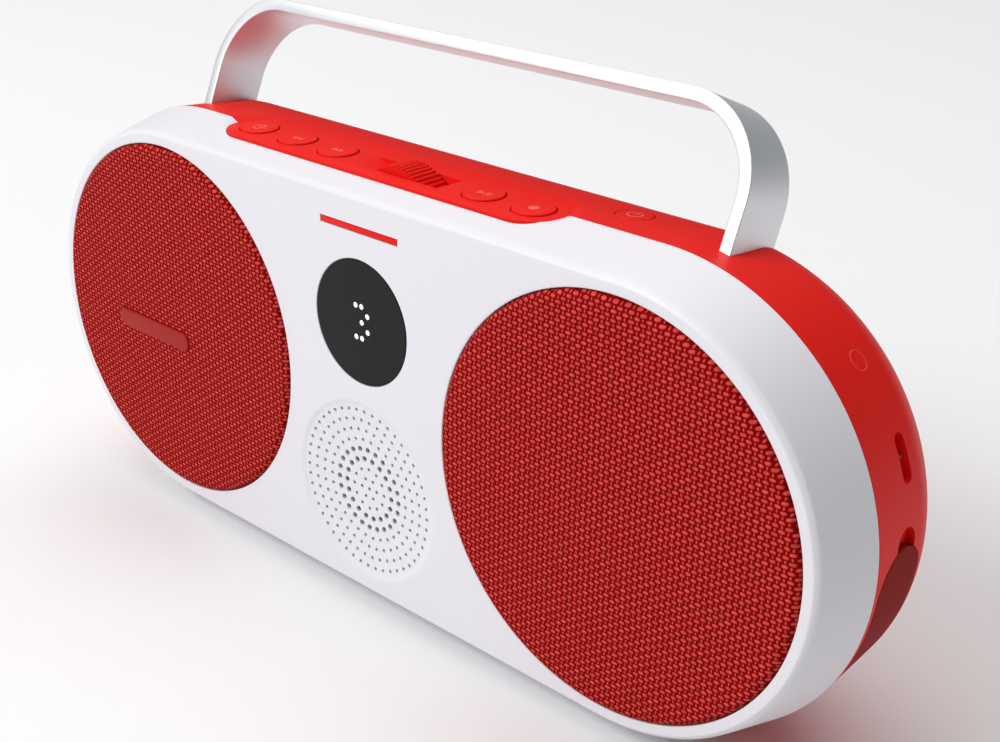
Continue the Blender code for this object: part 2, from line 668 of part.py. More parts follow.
def build_woofer(stand, word, side):
    """One driver: basket, magnet, rolled surround, and the cone and dust cap that move together."""
    place = (side * ARC_X, 0.0, 0.0)
    flange = WELL_RADIUS + BASKET_LAP
    start = BASKET_START
    hole = COIL_RADIUS + COIL_GAP
    basket = [
        (BASKET_INNER, start), (flange, start), (flange, start + BASKET_WALL),
        (BASKET_INNER + BASKET_WALL, start + BASKET_WALL), (BASKET_BACK_RADIUS, BASKET_END),
        (hole, BASKET_END), (hole, BASKET_END - BASKET_WALL),
        (BASKET_BACK_RADIUS - BASKET_WALL, BASKET_END - BASKET_WALL),
        (BASKET_INNER, start + 2 * BASKET_WALL),
    ]
    piece(f"woofer_basket_{word}", turned(basket, 24), PLASTIC, stand, place)
    near = BASKET_END + FIT
    far = near + MAGNET_THICKNESS
    slug = [(0.0, near), (MAGNET_RADIUS, near), (MAGNET_RADIUS, far - MAGNET_CHAMFER),
            (MAGNET_RADIUS - MAGNET_CHAMFER, far), (0.0, far)]
    piece(f"woofer_magnet_{word}", turned(slug, 24), FERRITE, stand, place)
    outer = BASKET_INNER - FIT
    inner = outer - SURROUND_WIDTH
    middle = (outer + inner) / 2
    roll = (outer - inner) / 2 - SURROUND_LIP
    lift = SURROUND_ROLL / roll
    over = [(middle + a, start + b * lift) for a, b in arc((0.0, 0.0), roll, 0, -180, 3)]
    under = [(a, b + CONE_PAPER) for a, b in reversed(over)]
    ring = [(outer, start)] + over + [(inner, start), (inner, start + CONE_PAPER)] + under
    ring.append((outer, start + CONE_PAPER))
    piece(f"woofer_surround_{word}", turned(ring, 24), BLACK_RUBBER, stand, place)
    axis = empty(f"cone_axis_{word}", (side * ARC_X, start, 0.0), stand)
    rim = inner - FIT
    neck = CONE_DEPTH
    cone = [
        (COIL_RADIUS, neck), (rim, 0.0), (rim, CONE_PAPER),
        (COIL_RADIUS + CONE_PAPER, neck + CONE_PAPER),
        (COIL_RADIUS, neck + COIL_LENGTH), (COIL_RADIUS - CONE_PAPER, neck + COIL_LENGTH),
        (COIL_RADIUS - CONE_PAPER, neck),
    ]
    piece(f"woofer_cone_{word}", turned(cone, 24), PAPER, axis)
    cap_radius = COIL_RADIUS - CONE_PAPER
    crown = arc((0.0, neck + cap_radius / 2), cap_radius, -90, -10, 3)
    crown = [(0.0, crown[0][1])] + crown[1:]
    cap = [(a, b - cap_radius / 2 + 2 * FIT) for a, b in crown]
    hollow = [(max(a - CONE_PAPER, 0.0), b + CONE_PAPER) for a, b in cap]
    hollow[-1] = (cap[-1][0] - CONE_PAPER, cap[-1][1])
    dome = [(a, b - cap_radius / 2 - CAP_DROP) for a, b in cap + hollow[::-1]]
    piece(f"dust_cap_{word}", turned(dome, 16), PAPER, axis)


def build_tweeter(stand):
    """The small driver behind the perforated field."""
    start = SKIN + FIT
    flange = TWEETER_FLANGE_RADIUS
    can = flange - TWEETER_FLANGE
    bore = can - TWEETER_FLANGE / 2
    back = start + TWEETER_DEPTH
    cup = [
        (0.0, back), (can, back), (can, start + BASKET_WALL), (flange, start + BASKET_WALL),
        (flange, start), (bore, start), (bore, back - BASKET_WALL), (0.0, back - BASKET_WALL),
    ]
    piece("tweeter_frame", turned(cup, 24), PLASTIC, stand, (0.0, 0.0, FIELD_Z))
    radius = bore - TWEETER_FLANGE / 2
    crown = [(radius * math.sin(t), DOME_RISE * radius * (1 - math.cos(t)))
             for t in (0.0, math.pi / 6, math.pi / 3, math.pi / 2)]
    under = [(a, b + CONE_PAPER) for a, b in reversed(crown)]
    dome = turned(crown + under, 20)
    axis = empty("tweeter_axis", (0.0, start + DOME_GAP, FIELD_Z), stand)
    piece("tweeter_dome", dome, PAPER, axis)


def build_display(stand):
    """Dark window, light matrix and its board, and the strip above."""
    place = (0.0, 0.0, DISPLAY_Z)
    lens = turned([(0.0, 0.0), (DISPLAY_RADIUS, 0.0), (DISPLAY_RADIUS, LENS_THICKNESS),
                   (0.0, LENS_THICKNESS)], 40)
    piece("display_lens", lens, DARK, stand, place)
    board_start = SKIN + FIT
    board = turned([(0.0, board_start), (DISPLAY_RADIUS, board_start), (DISPLAY_RADIUS, board_start + BOARD),
                    (0.0, board_start + BOARD)], 28)
    piece("display_board", board, CIRCUIT, stand, place)
    low = (-LED_SIZE[0] / 2, LENS_THICKNESS + FIT, -LED_SIZE[1] / 2)
    high = (LED_SIZE[0] / 2, SKIN, LED_SIZE[1] / 2)
    piece("light_matrix", block(low, high), WHITE, stand, place)
    middle = FACE_HALF - STRIP_DROP
    strip = block((-STRIP_LENGTH / 2, 0.0, middle - STRIP_HEIGHT / 2),
                  (STRIP_LENGTH / 2, STRIP_DEPTH, middle + STRIP_HEIGHT / 2))
    piece("accent_strip", strip, RED, stand)


def button_body(radius, top):
    """A cap with a flange below the wall and a stem, from (radius, height) points about its axis."""
    run, drop = BUTTON_CHAMFER
    return turned([
        (0.0, top), (radius - run, top), (radius, top - drop), (radius, FLANGE_TOP),
        (radius + BUTTON_FLANGE, FLANGE_TOP), (radius + BUTTON_FLANGE, FLANGE_TOP - BUTTON_FLANGE),
        (BUTTON_STEM, FLANGE_TOP - BUTTON_FLANGE), (BUTTON_STEM, STEM_END), (0.0, STEM_END),
    ], 16, "Z")


def build_controls(stand):
    """Round buttons on the pad, the power button behind it, their switches and one board."""
    for name, (x, y) in button_places().items():
        axis = empty(f"{name}_axis", (x, y, 0.0), stand)
        piece(name, button_body(BUTTON_RADIUS, PAD_TOP + BUTTON_PROUD), RED, axis)
    axis = empty("power_button_axis", (*POWER_PLACE, 0.0), stand)
    power_top = shell_radius(POWER_PLACE[1]) + FIT
    piece("power_button", button_body(POWER_RADIUS, power_top), RED, axis)
    side = SWITCH_SIDE / 2
    for name, (x, y) in {**button_places(), "power_button": POWER_PLACE}.items():
        switch = block((x - side, y - side, SWITCH_TOP - SWITCH_HEIGHT), (x + side, y + side, SWITCH_TOP))
        piece(name.replace("button", "switch"), switch, STEEL, stand)
    gap = math.sqrt(DIAL_RADIUS ** 2 - (BOARD_TOP - BOARD - DIAL_Z) ** 2) + CONTROL_GAP
    front = PAD_Y - PAD_RADIUS + CONTROL_MARGIN
    slot = PAD_Y + DIAL_WIDTH / 2 + CONTROL_GAP
    back = PAD_Y + PAD_RADIUS
    tail = POWER_PLACE[1] + POWER_RADIUS
    left = PAD_LEFT - BUTTON_RADIUS
    right = POWER_PLACE[0] + POWER_RADIUS
    step = POWER_PLACE[0] - POWER_RADIUS
    outline = [
        (left, front), (-gap, front), (-gap, slot), (gap, slot), (gap, front), (right, front),
        (right, tail), (step, tail), (step, back), (left, back),
    ]
    piece("control_board", prism(bmesh.new(), outline, BOARD_TOP - BOARD, BOARD_TOP, "Z"), CIRCUIT, stand)


def build_dial(stand):
    """Ribbed volume wheel on its axle, and the encoder that carries the axle."""
    axis = empty("dial_axis", (0.0, PAD_Y, DIAL_Z), stand)
    outline = []
    for i in range(4 * DIAL_RIDGES):
        radius = DIAL_RADIUS - (DIAL_RIDGE if i % 4 in (2, 3) else 0.0)
        turn = math.tau * (i + 0.5 * (i % 2)) / (4 * DIAL_RIDGES)
        outline.append((radius * math.cos(turn), radius * math.sin(turn)))
    wheel = prism(bmesh.new(), outline, -DIAL_WIDTH / 2, DIAL_WIDTH / 2, "Y")
    wheel = piece("volume_dial", wheel, RED, axis)
    bore = prism(bmesh.new(), circle((0.0, 0.0), AXLE_RADIUS + FIT, 12), -DIAL_WIDTH, DIAL_WIDTH, "Y")
    combine(wheel, "DIFFERENCE", helper("dial_bore", bore, axis))
    back = DIAL_WIDTH / 2 + 2 * FIT
    tail = back + AXLE_TAIL
    axle = turned([(0.0, -back), (AXLE_RADIUS, -back), (AXLE_RADIUS, tail), (0.0, tail)], 12)
    piece("dial_axle", axle, STEEL, axis)
    bush = AXLE_RADIUS + FIT
    can = BOARD_TOP - BOARD - FIT - DIAL_Z
    floor = tail + FIT
    outside = floor + ENCODER_WALL
    case = [(0.0, floor), (bush, floor), (bush, back), (can, back), (can, outside), (0.0, outside)]
    piece("dial_encoder", turned(case, 16), PLASTIC, stand, (0.0, PAD_Y, DIAL_Z))


def handle_outline(inset):
    """Half of the strip's path, seen from the front, from the right leg's end to the top's middle."""
    leg = ARC_X + HANDLE_OUTSET
    corner = (leg - HANDLE_RADIUS, HANDLE_RISE - HANDLE_RADIUS)
    return [(leg - inset, -HANDLE_TAIL)] + arc(corner, HANDLE_RADIUS - inset, 0, 90, 10)


def build_handle(lean):
    """Flat strip bent over the body, and inside at each end a clamp and its screw."""
    outer = handle_outline(0.0)
    inner = handle_outline(HANDLE_THICKNESS)
    outline = outer + [(-x, z) for x, z in reversed(outer)]
    outline += [(-x, z) for x, z in inner] + list(reversed(inner))
    low = HANDLE_SHIFT - HANDLE_WIDTH / 2
    strip = piece("handle", prism(bmesh.new(), outline, low, low + HANDLE_WIDTH, "Y"), ALUMINIUM, lean)
    level = -HANDLE_TAIL + CLAMP_SIZE[2] / 2
    bore = circle((HANDLE_SHIFT, level), SCREW_RADIUS + FIT, 12)
    holes = prism(bmesh.new(), bore, -BODY_LENGTH, BODY_LENGTH, "X")
    combine(strip, "DIFFERENCE", helper("handle_screw_holes", holes, lean))
    for word, side in SIDES.items():
        face = ARC_X + HANDLE_OUTSET
        near = face - HANDLE_THICKNESS - FIT
        x_low, x_high = sorted((side * near, side * (near - CLAMP_SIZE[0])))
        clamp = block((x_low, HANDLE_SHIFT - CLAMP_SIZE[1] / 2, -HANDLE_TAIL),
                      (x_high, HANDLE_SHIFT + CLAMP_SIZE[1] / 2, -HANDLE_TAIL + CLAMP_SIZE[2]))
        clamp = piece(f"handle_clamp_{word}", clamp, STEEL, lean)
        combine(clamp, "DIFFERENCE", bpy.data.objects["handle_screw_holes"])
        shank = HANDLE_THICKNESS + CLAMP_SIZE[0]
        top = FIT + SCREW_HEAD_THICKNESS
        screw = turned([(0.0, top), (SCREW_HEAD, top), (SCREW_HEAD, FIT), (SCREW_RADIUS, FIT),
                        (SCREW_RADIUS, -shank), (0.0, -shank)], 12)
        piece(f"handle_screw_{word}", screw, STEEL, lean, (side * face, HANDLE_SHIFT, level),
              (0.0, 0.0, -side * math.pi / 2))


def build_feet(stand):
    """Two rubber feet that meet the shell's curve above and the ground below."""
    skin = helper("foot_limit", shell_body(FIT), stand)
    ground = -SEAM_HALF - FOOT_DROP
    for word, side in SIDES.items():
        low = (side * FOOT_PLACE - FOOT_WIDTH / 2, FOOT_START, ground)
        high = (side * FOOT_PLACE + FOOT_WIDTH / 2, FOOT_START + FOOT_LENGTH, ground + FOOT_TOP_DROP)
        combine(piece(f"foot_{word}", block(low, high), BLACK_RUBBER, stand), "DIFFERENCE", skin)


def build_inside(stand):
    """Gasket, boards, battery, sockets and case screws."""
    half = front_half(SEAM_DEPTH - GASKET_DEPTH) - WALL - FIT
    front = SEAM_DEPTH - GASKET_DEPTH
    back = SEAM_DEPTH - FIT
    section = [(front, half - GASKET_WIDTH), (back, half - GASKET_WIDTH), (back, half), (front, half)]
    rings = [body_ring(depth, height) for depth, height in section]
    gasket = piece("housing_gasket", loft(rings, hoop=True), BLACK_RUBBER, stand)
    gap = prism(bmesh.new(), pad_outline(2 * FIT), PAD_BOTTOM - PLATE, SEAM_HALF + PLATE, "Z")
    combine(gasket, "DIFFERENCE", helper("gasket_gap", gap, stand))

    board_y = PAD_Y + PAD_RADIUS + BOARD_GAP
    top = DISPLAY_Z
    width, height = BOARD_SIZE
    board = block((-width / 2, board_y, top - height), (width / 2, board_y + BOARD, top))
    piece("main_board", board, CIRCUIT, stand)
    length, depth, tall = BATTERY_SIZE
    cell_y = board_y + BOARD + BATTERY_GAP
    low = (-length / 2, cell_y, BATTERY_BASE)
    piece("battery_pack", block(low, (length / 2, cell_y + depth, low[2] + tall)), CELL, stand)

    board_x = ARC_X + SEAM_HALF - PORT_BOARD_INSET
    side, below, above = PORT_BOARD_MARGINS
    half = DOOR_WIDTH / 2 - side
    low = (board_x - BOARD, DOOR_PLACE - half, AUX_DROP - below)
    high = (board_x, DOOR_PLACE + half, USB_DROP + above)
    piece("port_board", block(low, high), CIRCUIT, stand)
    inset = DOOR_THICKNESS + 2 * FIT
    face = wall_x(USB_DROP - USB_HALF - USB_RADIUS, DOOR_PLACE, inset)
    socket = prism(bmesh.new(), usb_outline(USB_RADIUS), board_x + FIT, face, "X")
    socket = piece("usb_c_socket", socket, STEEL, stand)
    cut = prism(bmesh.new(), usb_outline(USB_RADIUS - USB_SHELL), face - USB_MOUTH, face + PLATE, "X")
    combine(socket, "DIFFERENCE", helper("usb_mouth", cut, stand))
    face = wall_x(AUX_DROP - AUX_RADIUS, DOOR_PLACE, inset)
    jack = prism(bmesh.new(), circle((DOOR_PLACE, AUX_DROP), AUX_RADIUS, 16), board_x + FIT, face, "X")
    jack = piece("aux_jack", jack, PLASTIC, stand)
    cut = circle((DOOR_PLACE, AUX_DROP), AUX_BORE, 12)
    cut = prism(bmesh.new(), cut, face - AUX_MOUTH, face + PLATE, "X")
    combine(jack, "DIFFERENCE", helper("aux_bore", cut, stand))

    head = GRILLE_DEPTH + SCREW_HEAD_THICKNESS
    tip = head + SCREW_LENGTH - SCREW_TIP
    screw = [(0.0, GRILLE_DEPTH), (SCREW_HEAD, GRILLE_DEPTH), (SCREW_HEAD, head),
             (SCREW_RADIUS, head), (SCREW_RADIUS, tip), (0.0, tip)]
    for i, (x, z) in enumerate(screw_places(), 1):
        piece(f"case_screw_{i}", turned(screw, 12), STEEL, stand, (x, 0.0, z))


def main():
    """Builds every piece in its place."""
    clear_scene()
    stand = empty("stand", (0.0, -STAND_DEPTH, SEAM_HALF + FOOT_DROP))
    pivot = (0.0, HANDLE_PIVOT_DEPTH, shell_radius(HANDLE_PIVOT_DEPTH))
    lean = empty("handle_lean", pivot, stand, (-HANDLE_LEAN, 0.0, 0.0))
    build_front_housing(stand)
    build_rear_housing(stand, lean)
    for word, side in SIDES.items():
        build_grille(stand, word, side)
        build_woofer(stand, word, side)
    build_badge(stand)
    build_tweeter(stand)
    build_display(stand)
    build_controls(stand)
    build_dial(stand)
    build_handle(lean)
    build_feet(stand)
    build_inside(stand)
    bpy.context.view_layer.update()


main()
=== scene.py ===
"""Looks of the portable boombox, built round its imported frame.

Lengths are metres. Shapes are drawn in the body's own coordinates: x runs to the right seen from
the front, y from the front face back, and z up from the body's mid-height. Each finished mesh is
then set where the frame has the body, so every object sits unturned at the origin.
"""
import json
import logging
import math
from dataclasses import dataclass, field
from enum import Enum
from typing import Callable, Iterable, Optional, Sequence, Union

import bmesh
import bpy
from mathutils import Euler, Matrix, Vector


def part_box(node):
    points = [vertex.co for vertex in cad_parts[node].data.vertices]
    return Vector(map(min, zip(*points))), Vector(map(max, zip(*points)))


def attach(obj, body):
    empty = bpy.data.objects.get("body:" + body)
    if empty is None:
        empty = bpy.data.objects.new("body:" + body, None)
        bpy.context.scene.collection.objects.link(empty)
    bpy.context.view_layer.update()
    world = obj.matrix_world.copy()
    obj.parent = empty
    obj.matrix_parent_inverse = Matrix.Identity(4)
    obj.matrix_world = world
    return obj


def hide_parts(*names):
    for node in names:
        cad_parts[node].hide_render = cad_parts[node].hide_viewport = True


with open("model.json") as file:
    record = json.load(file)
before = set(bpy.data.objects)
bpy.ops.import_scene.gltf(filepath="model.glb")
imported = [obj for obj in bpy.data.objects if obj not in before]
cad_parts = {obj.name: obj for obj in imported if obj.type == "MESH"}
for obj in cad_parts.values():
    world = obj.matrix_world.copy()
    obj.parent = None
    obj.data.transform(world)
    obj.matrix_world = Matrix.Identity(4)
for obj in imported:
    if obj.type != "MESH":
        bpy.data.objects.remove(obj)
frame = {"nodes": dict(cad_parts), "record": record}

MM = 0.001
SHARP = math.radians(30)
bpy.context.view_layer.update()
HOUSING = "housing"
Pair = tuple[float, float]
LOG = logging.getLogger("boombox")


# --- Shader toolkit -----------------------------------------------------------------------------


class Socket:
    """An output socket that takes part in Python arithmetic."""

    def __init__(self, shade: "Shade", link: bpy.types.NodeSocket) -> None:
        """Wraps one output of a shade's node."""
        self.shade = shade
        self.link = link

    def math(self, operation: str, *others: "Value") -> "Socket":
        """One Math node on this value and others."""
        return self.shade.math(operation, self, *others)

    def __add__(self, other: "Value") -> "Socket":
        """Sum."""
        return self.math("ADD", other)

    def __radd__(self, other: "Value") -> "Socket":
        """Sum, from the right."""
        return self.math("ADD", other)

    def __sub__(self, other: "Value") -> "Socket":
        """Difference."""
        return self.math("SUBTRACT", other)

    def __rsub__(self, other: "Value") -> "Socket":
        """Difference, from the right."""
        return self.shade.math("SUBTRACT", other, self)

    def __mul__(self, other: "Value") -> "Socket":
        """Product."""
        return self.math("MULTIPLY", other)

    def __rmul__(self, other: "Value") -> "Socket":
        """Product, from the right."""
        return self.math("MULTIPLY", other)

    def __truediv__(self, other: "Value") -> "Socket":
        """Quotient."""
        return self.math("DIVIDE", other)

    def __pow__(self, other: "Value") -> "Socket":
        """Power."""
        return self.math("POWER", other)

    def clip(self) -> "Socket":
        """The value held at zero or more."""
        return self.math("MAXIMUM", 0.0)


Value = Union[Socket, float]
Colour = tuple[float, float, float]


class Shade:
    """One material in the making, round its Principled shader."""

    def __init__(self, name: str) -> None:
        """Starts a material of that name."""
        self.material = bpy.data.materials.new(f"{name}_finish")
        self.material.use_nodes = True
        self.tree = self.material.node_tree
        self.surface = self.tree.nodes["Principled BSDF"]

    def node(self, kind: str, settings: dict, inputs: dict, output: Union[int, str] = 0) -> Socket:
        """Adds any node.

        Args:
            kind: the node's type, such as ShaderNodeTexNoise.
            settings: the node's own properties, set first.
            inputs: value or link of each socket, by name or index.
            output: which output to hand back.

        Returns:
            The wrapped output socket.
        """
        made = self.tree.nodes.new(kind)
        for key, value in settings.items():
            setattr(made, key, value)
        for key, value in inputs.items():
            self.feed(made.inputs[key], value)
        return Socket(self, made.outputs[output])

    def feed(self, target: bpy.types.NodeSocket, value: object) -> None:
        """Links a wrapped socket to an input, or sets the input to a plain value."""
        if isinstance(value, Socket):
            self.tree.links.new(value.link, target)
        elif isinstance(value, tuple) and len(value) == 3 and target.type == "RGBA":
            target.default_value = (*value, 1.0)
        else:
            target.default_value = value

    def math(self, operation: str, *values: Value) -> Socket:
        """A Math node on one to three values."""
        return self.node("ShaderNodeMath", {"operation": operation}, dict(enumerate(values)))

    def mix(self, factor: Value, low: object, high: object) -> Socket:
        """A colour between two colours."""
        return self.node("ShaderNodeMix", {"data_type": "RGBA"}, {0: factor, 6: low, 7: high}, 2)

    def point(self) -> Socket:
        """The shaded point in the object's coordinates."""
        return self.node("ShaderNodeTexCoord", {}, {}, "Object")

    def noise(self, scale: float, detail: float = 2.0, stretch: Colour = (1.0, 1.0, 1.0)) -> Socket:
        """Cloudy noise from 0 to 1.

        Args:
            scale: patches per metre.
            detail: how many finer layers it has.
            stretch: how many times finer it is along each axis.

        Returns:
            The noise value.
        """
        placed = self.node("ShaderNodeMapping", {}, {"Vector": self.point(), "Scale": stretch})
        inputs = {"Vector": placed, "Scale": scale, "Detail": detail}
        return self.node("ShaderNodeTexNoise", {}, inputs, "Fac")

    def ramp(self, value: Socket, low: float, high: float) -> Socket:
        """A smooth step from 0 at low to 1 at high."""
        settings = {"interpolation_type": "SMOOTHSTEP"}
        return self.node("ShaderNodeMapRange", settings, {0: value, 1: low, 2: high, 3: 0.0, 4: 1.0})

    def bump(self, height: Socket, depth: float) -> Socket:
        """A normal from a height of 0 to 1 and its depth in metres."""
        return self.node("ShaderNodeBump", {}, {"Height": height, "Distance": depth}, "Normal")

    def dress(self, **inputs: object) -> bpy.types.Material:
        """Feeds the shader's sockets, with underscores for spaces in their names."""
        for key, value in inputs.items():
            self.feed(self.surface.inputs[key.replace("_", " ")], value)
        return self.material


# --- Finishes -----------------------------------------------------------------------------------


@dataclass(frozen=True)
class Moulded:
    """Spark-textured moulded plastic, coated paper or soft rubber."""

    name: str
    colour: Colour
    roughness: float = 0.42
    grain: float = 0.35 * MM
    depth: float = 0.012 * MM
    clouding: float = 0.04
    specular: float = 0.5

    def make(self) -> bpy.types.Material:
        """The material, with a fine grain, faint clouding and uneven gloss."""
        shade = Shade(self.name)
        cloud = shade.noise(22.0, 3.0)
        grain = shade.noise(1.0 / self.grain, 2.0)
        speck = shade.noise(0.2 / self.grain, 4.0)
        darker = tuple(channel * (1.0 - 2.0 * self.clouding) for channel in self.colour)
        lighter = tuple(min(channel * (1.0 + self.clouding) + 0.002, 1.0) for channel in self.colour)
        tone = shade.mix(0.65 * cloud + 0.35 * speck, darker, lighter)
        gloss = self.roughness - 0.05 + 0.06 * cloud + 0.05 * grain
        height = 0.7 * grain + 0.3 * speck
        return shade.dress(
            Base_Color=tone, Roughness=gloss, Normal=shade.bump(height, self.depth),
            Specular_IOR_Level=self.specular,
        )


@dataclass(frozen=True)
class Woven:
    """Plain-woven acoustic cloth: plump threads across, thin threads between them."""

    name: str
    thread: Colour
    # gap: painted shade, the yarn's red as it looks shaded in the hollows between the threads
    gap: Colour
    repeat: float = 4.04 * MM
    row: float = 1.365 * MM
    plump: Pair = (1.08 * MM, 0.62 * MM)
    thin: Pair = (0.38 * MM, 0.62 * MM)
    depth: float = 0.5 * MM

    def lump(self, shade: Shade, across: Socket, along: Socket, size: Pair) -> Socket:
        """The height of one rounded thread crossing.

        Args:
            shade: the material in the making.
            across: distance from the crossing's middle, along x, in metres.
            along: the same along z.
            size: half-width and half-height in metres.

        Returns:
            Height from 0 to 1.
        """
        flank = (across / size[0]).math("ABSOLUTE") ** 2.6
        end = (along / size[1]).math("ABSOLUTE") ** 2.3
        return (1.0 - flank - end).clip() ** 0.5

    def make(self) -> bpy.types.Material:
        """The material, with thread colour, gaps darkened as painted shade, fibres and the weave's relief."""
        shade = Shade(self.name)
        wander = shade.noise(240.0, 1.0) - 0.5
        x = shade.node("ShaderNodeSeparateXYZ", {}, {0: shade.point()}, "X") + wander * (0.8 * MM)
        z = shade.node("ShaderNodeSeparateXYZ", {}, {0: shade.point()}, "Z") + wander * (0.3 * MM)
        level = z / self.row
        lane = level.math("FLOOR")
        along = (level.math("FRACT") - 0.5) * self.row
        shift = (lane * 0.5).math("FRACT")
        place = x / self.repeat + shift
        across = (place.math("FRACT") - 0.5).math("ABSOLUTE") * self.repeat
        other = (0.5 * self.repeat) - across
        plump = self.lump(shade, across, along, self.plump)
        thin = self.lump(shade, other, along, self.thin)
        height = plump.math("MAXIMUM", 0.8 * thin)
        fibre = shade.noise(1900.0, 2.0, (0.35, 1.0, 1.6))
        patch = shade.noise(420.0, 2.0)
        # Painted shade: the colour falls from the thread's to the gap colour where the weave's relief is low
        mask = shade.ramp(height, 0.08, 0.9)
        bright = tuple(min(channel * 1.35 + 0.015, 1.0) for channel in self.thread)
        dull = tuple(channel * 0.72 for channel in self.thread)
        thread = shade.mix(shade.ramp(0.5 * fibre + 0.5 * patch, 0.3, 0.7), dull, bright)
        tone = shade.mix(mask, self.gap, thread)
        relief = height * (0.86 + 0.28 * fibre)
        return shade.dress(
            Base_Color=tone, Roughness=0.95 - 0.25 * mask, Normal=shade.bump(relief, self.depth),
            Specular_IOR_Level=0.06,
        )


@dataclass(frozen=True)
class Metal:
    """Bead-blasted, plated or cast metal."""

    name: str
    colour: Colour
    roughness: float
    metallic: float = 1.0
    grain: float = 0.25 * MM
    depth: float = 0.006 * MM
    brushed: Colour = (1.0, 1.0, 1.0)

    def make(self) -> bpy.types.Material:
        """The material, with blasted or brushed grain and cloudy gloss."""
        shade = Shade(self.name)
        grain = shade.noise(1.0 / self.grain, 3.0, self.brushed)
        cloud = shade.noise(35.0, 3.0)
        darker = tuple(channel * 0.93 for channel in self.colour)
        tone = shade.mix(0.5 * grain + 0.5 * cloud, darker, self.colour)
        gloss = self.roughness - 0.05 + 0.07 * cloud + 0.06 * grain
        return shade.dress(
            Base_Color=tone, Metallic=self.metallic, Roughness=gloss,
            Normal=shade.bump(grain, self.depth),
        )


@dataclass(frozen=True)
class Board:
    """A circuit board: solder mask over copper tracks."""

    name: str
    mask: Colour
    track: Colour
    pitch: float = 2.4 * MM

    def make(self) -> bpy.types.Material:
        """The material, with tracks in relief under the mask."""
        shade = Shade(self.name)
        placed = shade.node("ShaderNodeMapping", {}, {"Vector": shade.point(), "Scale": (1.0, 1.0, 0.5)})
        inputs = {"Vector": placed, "Scale": 1.0 / self.pitch, "Randomness": 0.3}
        settings = {"feature": "DISTANCE_TO_EDGE"}
        edge = shade.node("ShaderNodeTexVoronoi", settings, inputs, "Distance")
        track = 1.0 - shade.ramp(edge, 0.05, 0.09)
        weave = shade.noise(1800.0, 2.0)
        tone = shade.mix(0.75 * track + 0.15 * weave, self.mask, self.track)
        return shade.dress(Base_Color=tone, Roughness=0.32 + 0.2 * weave, Normal=shade.bump(track, 0.03 * MM))


@dataclass(frozen=True)
class Light:
    """A milky light guide that glows a little."""

    name: str
    colour: Colour
    glow: float

    def make(self) -> bpy.types.Material:
        """The material, slightly brighter in cloudy patches."""
        shade = Shade(self.name)
        cloud = shade.noise(900.0, 2.0)
        tone = shade.mix(cloud, tuple(0.9 * channel for channel in self.colour), self.colour)
        return shade.dress(
            Base_Color=tone, Roughness=0.4 + 0.1 * cloud, Emission_Color=tone, Emission_Strength=self.glow,
        )


Finish = Union[Moulded, Woven, Metal, Board, Light]
MADE: dict[str, bpy.types.Material] = {}


def finished(finish: Finish) -> bpy.types.Material:
    """A finish's material, made once."""
    if finish.name not in MADE:
        MADE[finish.name] = finish.make()
    return MADE[finish.name]


class Slot(Enum):
    """The record's material slots, each with its finish."""

    WHITE_PLASTIC = Moulded("white_plastic", (0.78, 0.77, 0.81), 0.40, clouding=0.008)
    RED_PLASTIC = Moulded("red_plastic", (0.83, 0.010, 0.005), 0.44, clouding=0.04, specular=0.13)
    # The fabric's second colour is painted shade: the yarn's red as it looks shaded in the gaps between the
    # threads.
    RED_FABRIC = Woven("red_fabric", (0.64, 0.054, 0.044), (0.23, 0.0002, 0.0002))
    DISPLAY_GLASS = Moulded("display_glass", (0.008, 0.0088, 0.0088), 0.36, 0.6 * MM, 0.004 * MM, 0.06, 0.14)
    LIGHT_DIFFUSER = Light("light_diffuser", (0.92, 0.92, 0.94), 0.5)
    RED_RUBBER = Moulded("red_rubber", (0.27, 0.004, 0.0015), 0.66, 0.5 * MM, 0.02 * MM, 0.07, 0.08)
    BLACK_RUBBER = Moulded("black_rubber", (0.024, 0.024, 0.025), 0.78, 0.5 * MM, 0.03 * MM, 0.12, 0.4)
    HANDLE_ALUMINIUM = Metal("handle_aluminium", (0.86, 0.89, 0.915), 0.42, 0.78)
    STEEL = Metal("steel", (0.56, 0.57, 0.59), 0.32, brushed=(1.0, 0.15, 1.0))
    FERRITE = Metal("ferrite", (0.075, 0.075, 0.08), 0.62, 0.35, 0.5 * MM, 0.03 * MM)
    CONE_PAPER = Moulded("cone_paper", (0.045, 0.045, 0.05), 0.72, 0.9 * MM, 0.06 * MM, 0.15)
    BLACK_PLASTIC = Moulded("black_plastic", (0.03, 0.03, 0.033), 0.55, 0.4 * MM, 0.02 * MM, 0.1)
    CIRCUIT_BOARD = Board("circuit_board", (0.012, 0.13, 0.05), (0.06, 0.28, 0.12))
    BATTERY_WRAP = Metal("battery_wrap", (0.05, 0.14, 0.42), 0.30, 0.35)

    @property
    def slot(self) -> str:
        """The slot's name in the record."""
        return self.value.name

    def material(self) -> bpy.types.Material:
        """The slot's material, made once."""
        return finished(self.value)


SYMBOL = Moulded("symbol_ink", (0.92, 0.13, 0.10), 0.38, clouding=0.02)
MARK = Moulded("mark_red", (0.80, 0.045, 0.032), 0.5, clouding=0.03, specular=0.2)
BAR = Moulded("bar_red", (0.36, 0.008, 0.004), 0.5, clouding=0.05, specular=0.2)


# --- Mesh toolkit -------------------------------------------------------------------------------


def arc(centre: Pair, radius: float, start: float, end: float, steps: int) -> list[Pair]:
    """Points along an arc with both ends, angles in degrees."""
    turns = [math.radians(start + (end - start) * i / steps) for i in range(steps + 1)]
    return [(centre[0] + radius * math.cos(a), centre[1] + radius * math.sin(a)) for a in turns]


